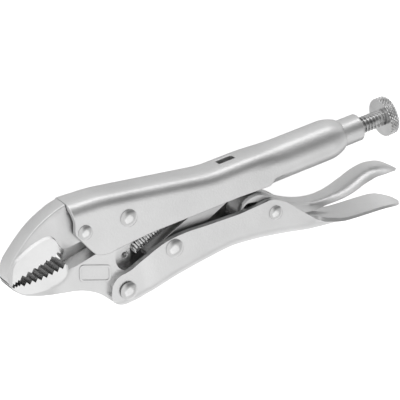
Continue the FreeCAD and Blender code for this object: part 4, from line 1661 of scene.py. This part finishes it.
@dataclass
class Floor:
    """A matt white floor. To the camera it is white wherever no shadow falls.

    What the tool mirrors of it glows by place, a painted reflection: dimmer on the spine's side, brighter
    on the lever's side, and none past the knob, which gives the turned parts their contrast.
    """

    colour: str = "f2f2f2"
    half: float = 3.0
    drop: float = 0.0003  # below the tool, so that the two never share a plane
    camera_glow: float = 0.75
    near_spine: tuple[float, float] = (0.02, 0.14)  # Y in metres, and the painted reflection's glow there
    near_lever: tuple[float, float] = (-0.04, 0.48)
    fade: tuple[float, float] = (0.066, 0.080)  # X in metres, where the painted reflection's glow starts and ends falling

    def paint(self) -> bpy.types.Material:
        """Make the floor's material.

        Returns:
            A matt white that also glows a little, by what kind of ray meets it, and by place where metal
            mirrors it: a painted reflection.
        """
        paper = bpy.data.materials.new("white_studio_paper_with_painted_reflection")
        paper.use_nodes = True
        tree = paper.node_tree
        tree.nodes.clear()
        rays = add_node(tree, "ShaderNodeLightPath")
        matt = add_node(tree, "ShaderNodeBsdfDiffuse", {"Color": linear(self.colour)})
        place = add_node(tree, "ShaderNodeTexCoord").outputs["Object"]
        apart = add_node(tree, "ShaderNodeSeparateXYZ", links={"Vector": place}).outputs
        (spine_y, spine_glow), (lever_y, lever_glow) = self.near_spine, self.near_lever
        sweep = add_node(tree, "ShaderNodeMapRange", {"From Min": spine_y, "From Max": lever_y,
                                                      "To Min": spine_glow, "To Max": lever_glow},
                         {"Value": apart["Y"]}, interpolation_type="SMOOTHSTEP").outputs["Result"]
        beyond = add_node(tree, "ShaderNodeMapRange", {"From Min": self.fade[0], "From Max": self.fade[1],
                                                       "To Min": 1.0, "To Max": 0.0},
                          {"Value": apart["X"]}, interpolation_type="SMOOTHSTEP").outputs["Result"]
        painted_reflection_level = add_node(tree, "ShaderNodeMath", links={0: sweep, 1: beyond}, operation="MULTIPLY").outputs[0]
        # painted reflection: a glow set by place, seen only by the rays that metal mirrors
        painted_reflection = add_node(tree, "ShaderNodeMath", links={0: rays.outputs["Is Glossy Ray"], 1: painted_reflection_level},
                            operation="MULTIPLY").outputs[0]
        seen = add_node(tree, "ShaderNodeMath", {1: self.camera_glow},
                        {0: rays.outputs["Is Camera Ray"], 2: painted_reflection}, operation="MULTIPLY_ADD").outputs[0]
        lit = add_node(tree, "ShaderNodeEmission", {"Color": linear("ffffff")}, {"Strength": seen})
        both = add_node(tree, "ShaderNodeAddShader", links={0: matt.outputs[0], 1: lit.outputs[0]})
        add_node(tree, "ShaderNodeOutputMaterial", links={"Surface": both.outputs[0]})
        return paper

    def lay(self) -> None:
        """Lay the floor under the tool."""
        flat = bmesh.new()
        bmesh.ops.create_grid(flat, x_segments=1, y_segments=1, size=self.half,
                              matrix=Matrix.Translation((0.0, 0.0, -self.drop)))
        mesh = bpy.data.meshes.new("floor")
        flat.to_mesh(mesh)
        flat.free()
        made = bpy.data.objects.new("floor", mesh)
        bpy.context.scene.collection.objects.link(made)
        mesh.materials.append(self.paint())


@dataclass
class Room:
    """The light of the room: a pale wall behind, a pale ceiling in front, and a dim gap between them."""

    # degrees round the X axis, from the spine's side over the top, and the level there
    levels: tuple[tuple[float, float], ...] = (
        (0, 0.80), (16, 0.84), (32, 0.66), (48, 0.30), (70, 0.20), (86, 0.40), (100, 0.60), (114, 0.62),
        (134, 0.66), (154, 0.84), (180, 1.05))
    left_level: float = 0.80  # the even level beyond the jaws
    left: tuple[float, float] = (0.32, -0.28)  # how far along X the change to it starts and ends
    strength: float = 1.12

    def light(self) -> None:
        """Make the world's light; the camera itself sees plain white."""
        room = bpy.data.worlds.new("soft_studio")
        bpy.context.scene.world = room
        room.use_nodes = True
        tree = room.node_tree
        tree.nodes.clear()
        rays = add_node(tree, "ShaderNodeLightPath")
        facing = add_node(tree, "ShaderNodeTexCoord").outputs["Generated"]
        apart = add_node(tree, "ShaderNodeSeparateXYZ", links={"Vector": facing}).outputs
        angle = add_node(tree, "ShaderNodeMath", links={0: apart["Z"], 1: apart["Y"]},
                         operation="ARCTAN2").outputs[0]
        share = add_node(tree, "ShaderNodeMath", {1: math.pi}, {0: angle}, operation="DIVIDE").outputs[0]
        ramp = add_node(tree, "ShaderNodeValToRGB", links={"Fac": share})
        ramp.color_ramp.interpolation = "EASE"
        while len(ramp.color_ramp.elements) < len(self.levels):
            ramp.color_ramp.elements.new(0.5)
        for element, (degrees, level) in zip(ramp.color_ramp.elements, self.levels):
            element.position = degrees / 180
            element.color = (level, level, level, 1.0)
        left = add_node(tree, "ShaderNodeMapRange", {"From Min": self.left[0], "From Max": self.left[1]},
                        {"Value": apart["X"]}, interpolation_type="SMOOTHSTEP").outputs["Result"]
        level = add_node(tree, "ShaderNodeMix", {3: self.left_level},
                         {0: left, 2: ramp.outputs["Color"]}).outputs[0]
        walls = add_node(tree, "ShaderNodeBackground", {"Strength": self.strength}, {"Color": level})
        white = add_node(tree, "ShaderNodeBackground", {"Color": (1.0, 1.0, 1.0, 1.0), "Strength": 1.0})
        pick = add_node(tree, "ShaderNodeMixShader", links={0: rays.outputs["Is Camera Ray"],
                                                            1: walls.outputs[0], 2: white.outputs[0]})
        add_node(tree, "ShaderNodeOutputWorld", links={"Surface": pick.outputs[0]})


@dataclass
class Studio:
    """A plain pale floor, a pale room, soft lamps, and the camera."""

    camera: Camera = field(default_factory=Camera)
    floor: Floor = field(default_factory=Floor)
    room: Room = field(default_factory=Room)
    lamps: tuple[Lamp, ...] = (Lamp("back_strip", (0.0, 1.0, 0.20), (1.8, 0.28), 1.9),
                               Lamp("overhead_box", (0.14, -0.39, 0.78), (0.62, 0.5), 0.50))

    def build(self) -> None:
        """Set up the whole studio."""
        self.camera.set_up()
        self.floor.lay()
        self.room.light()
        for lamp in self.lamps:
            lamp.hang()
        bpy.context.scene.view_settings.view_transform = "Standard"


# ---- the tool ----------------------------------------------------------------------------------------
def pieces() -> list[Piece]:
    """List every piece of the tool.

    Returns:
        The pieces in the order that they are built.
    """
    stake = (-41.4, 4.0)
    # each rivet's node, body, place, and radius of shank and head, and height of head
    rivets = (
        ("upper_jaw_rivet", Body.FRAME, stake, 1.5, 2.3, 0.85),
        ("jaw_pivot_rivet", Body.FRAME, JAW_PIVOT, 2.4, 2.75, 1.0),
        ("lower_jaw_rivet", Body.LOWER_HANDLE, HANDLE_PIVOT, 2.3, 2.8, 1.0),
        ("toggle_rivet", Body.LOWER_HANDLE, TOGGLE_PIVOT, 2.2, 2.95, 1.0),
        ("release_rivet", Body.LOWER_HANDLE, RELEASE_PIVOT, 1.8, 2.35, 0.9),
    )
    forged = (Finish.BLASTED, Finish.GROUND, Finish.MILLED)
    listed: list[Piece] = [
        FixedHandle("fixed_handle_shell", Body.FRAME, Slot.PLATED, ("fixed_handle",), wall=1.9, edge=0.4,
                    held=False),
        UpperJaw("upper_jaw_forging", Body.FRAME, Slot.PLATED, ("upper_jaw",), forged),
        LowerJaw("lower_jaw_forging", Body.LOWER_JAW, Slot.PLATED, ("lower_jaw",), forged),
        RaisedFrame("lower_jaw_panel", Body.LOWER_JAW, Slot.PLATED, edge=0.12),
        HookPlate("lower_jaw_web", Body.LOWER_JAW, Slot.PLATED, hole=(-28.5, -10.5),
                  outline=((-25.0, -3.6), (-31.5, -4.6), (-33.4, -7.0), (-34.0, -9.8), (-33.4, -12.8),
                           (-31.2, -14.9), (-28.6, -15.6), (-26.9, -13.6), (-26.4, -11.6), (-26.2, -9.2),
                           (-25.4, -7.4))),
        HookPlate("spring_tab", Body.FRAME, Slot.PLATED, hole=(6.3, 1.9), half=0.9,
                  outline=((5.0, 1.2), (7.6, 1.2), (8.3, 2.4), (8.6, 5.4), (5.4, 5.4), (4.9, 2.4))),
        LowerHandle("lower_handle_shell", Body.LOWER_HANDLE, Slot.PLATED, ("lower_handle",), wall=1.9,
                    edge=0.35, thinning=Profile(((32.0, 1.0), (46.0, 0.48), (68.0, 0.42)), 3.0)),
        ReleaseLever("release_lever_shell", Body.LEVER, Slot.PLATED, ("release_lever",), wall=1.5,
                     edge=0.25, thinning=Profile(((30.0, 1.0), (50.0, 0.8), (69.0, 0.6)), 3.0)),
        ToggleLink("toggle_link_plate", Body.LINK, Slot.GROUND, ("toggle_link",), (Finish.BLANKED,)),
        # the whole thread wears the darker finish: painted shade for its grooves
        AdjustingScrew("adjusting_screw_thread", Body.SCREW, Slot.BRIGHT, ("adjusting_screw",), (Finish.CUT,),
                       edge=0.0),
        Knob("knurled_knob_head", Body.SCREW, Slot.BRIGHT, ("knurled_knob",), (Finish.TURNED, Finish.CUT),
             edge=0.0),
        JawSpring("jaw_spring_coil", Body.FRAME, Slot.WIRE, ("jaw_spring",), (Finish.WIRE,), edge=0.0),
    ]
    for node, body, centre, shank, head, height in rivets:
        listed.append(Rivet(node + "_heads", body, Slot.BRIGHT, (node,), (Finish.TURNED,), 0.0, centre=centre,
                            shank=shank, head=head, height=height))
    return listed


def dress_frame() -> None:
    """Give the CAD node that is still shown its material."""
    nose = frame["nodes"]["screw_nose"]
    nose.data.materials.clear()
    nose.data.materials.append(material(Finish.TURNED))


def main() -> None:
    """Build the studio and every piece, and log each."""
    logging.basicConfig(level=logging.INFO, format="%(name)s: %(message)s")
    Studio().build()
    for piece in pieces():
        piece.build()
    dress_frame()
    log.info("all pieces built")


if __name__ == "__main__":
    main()
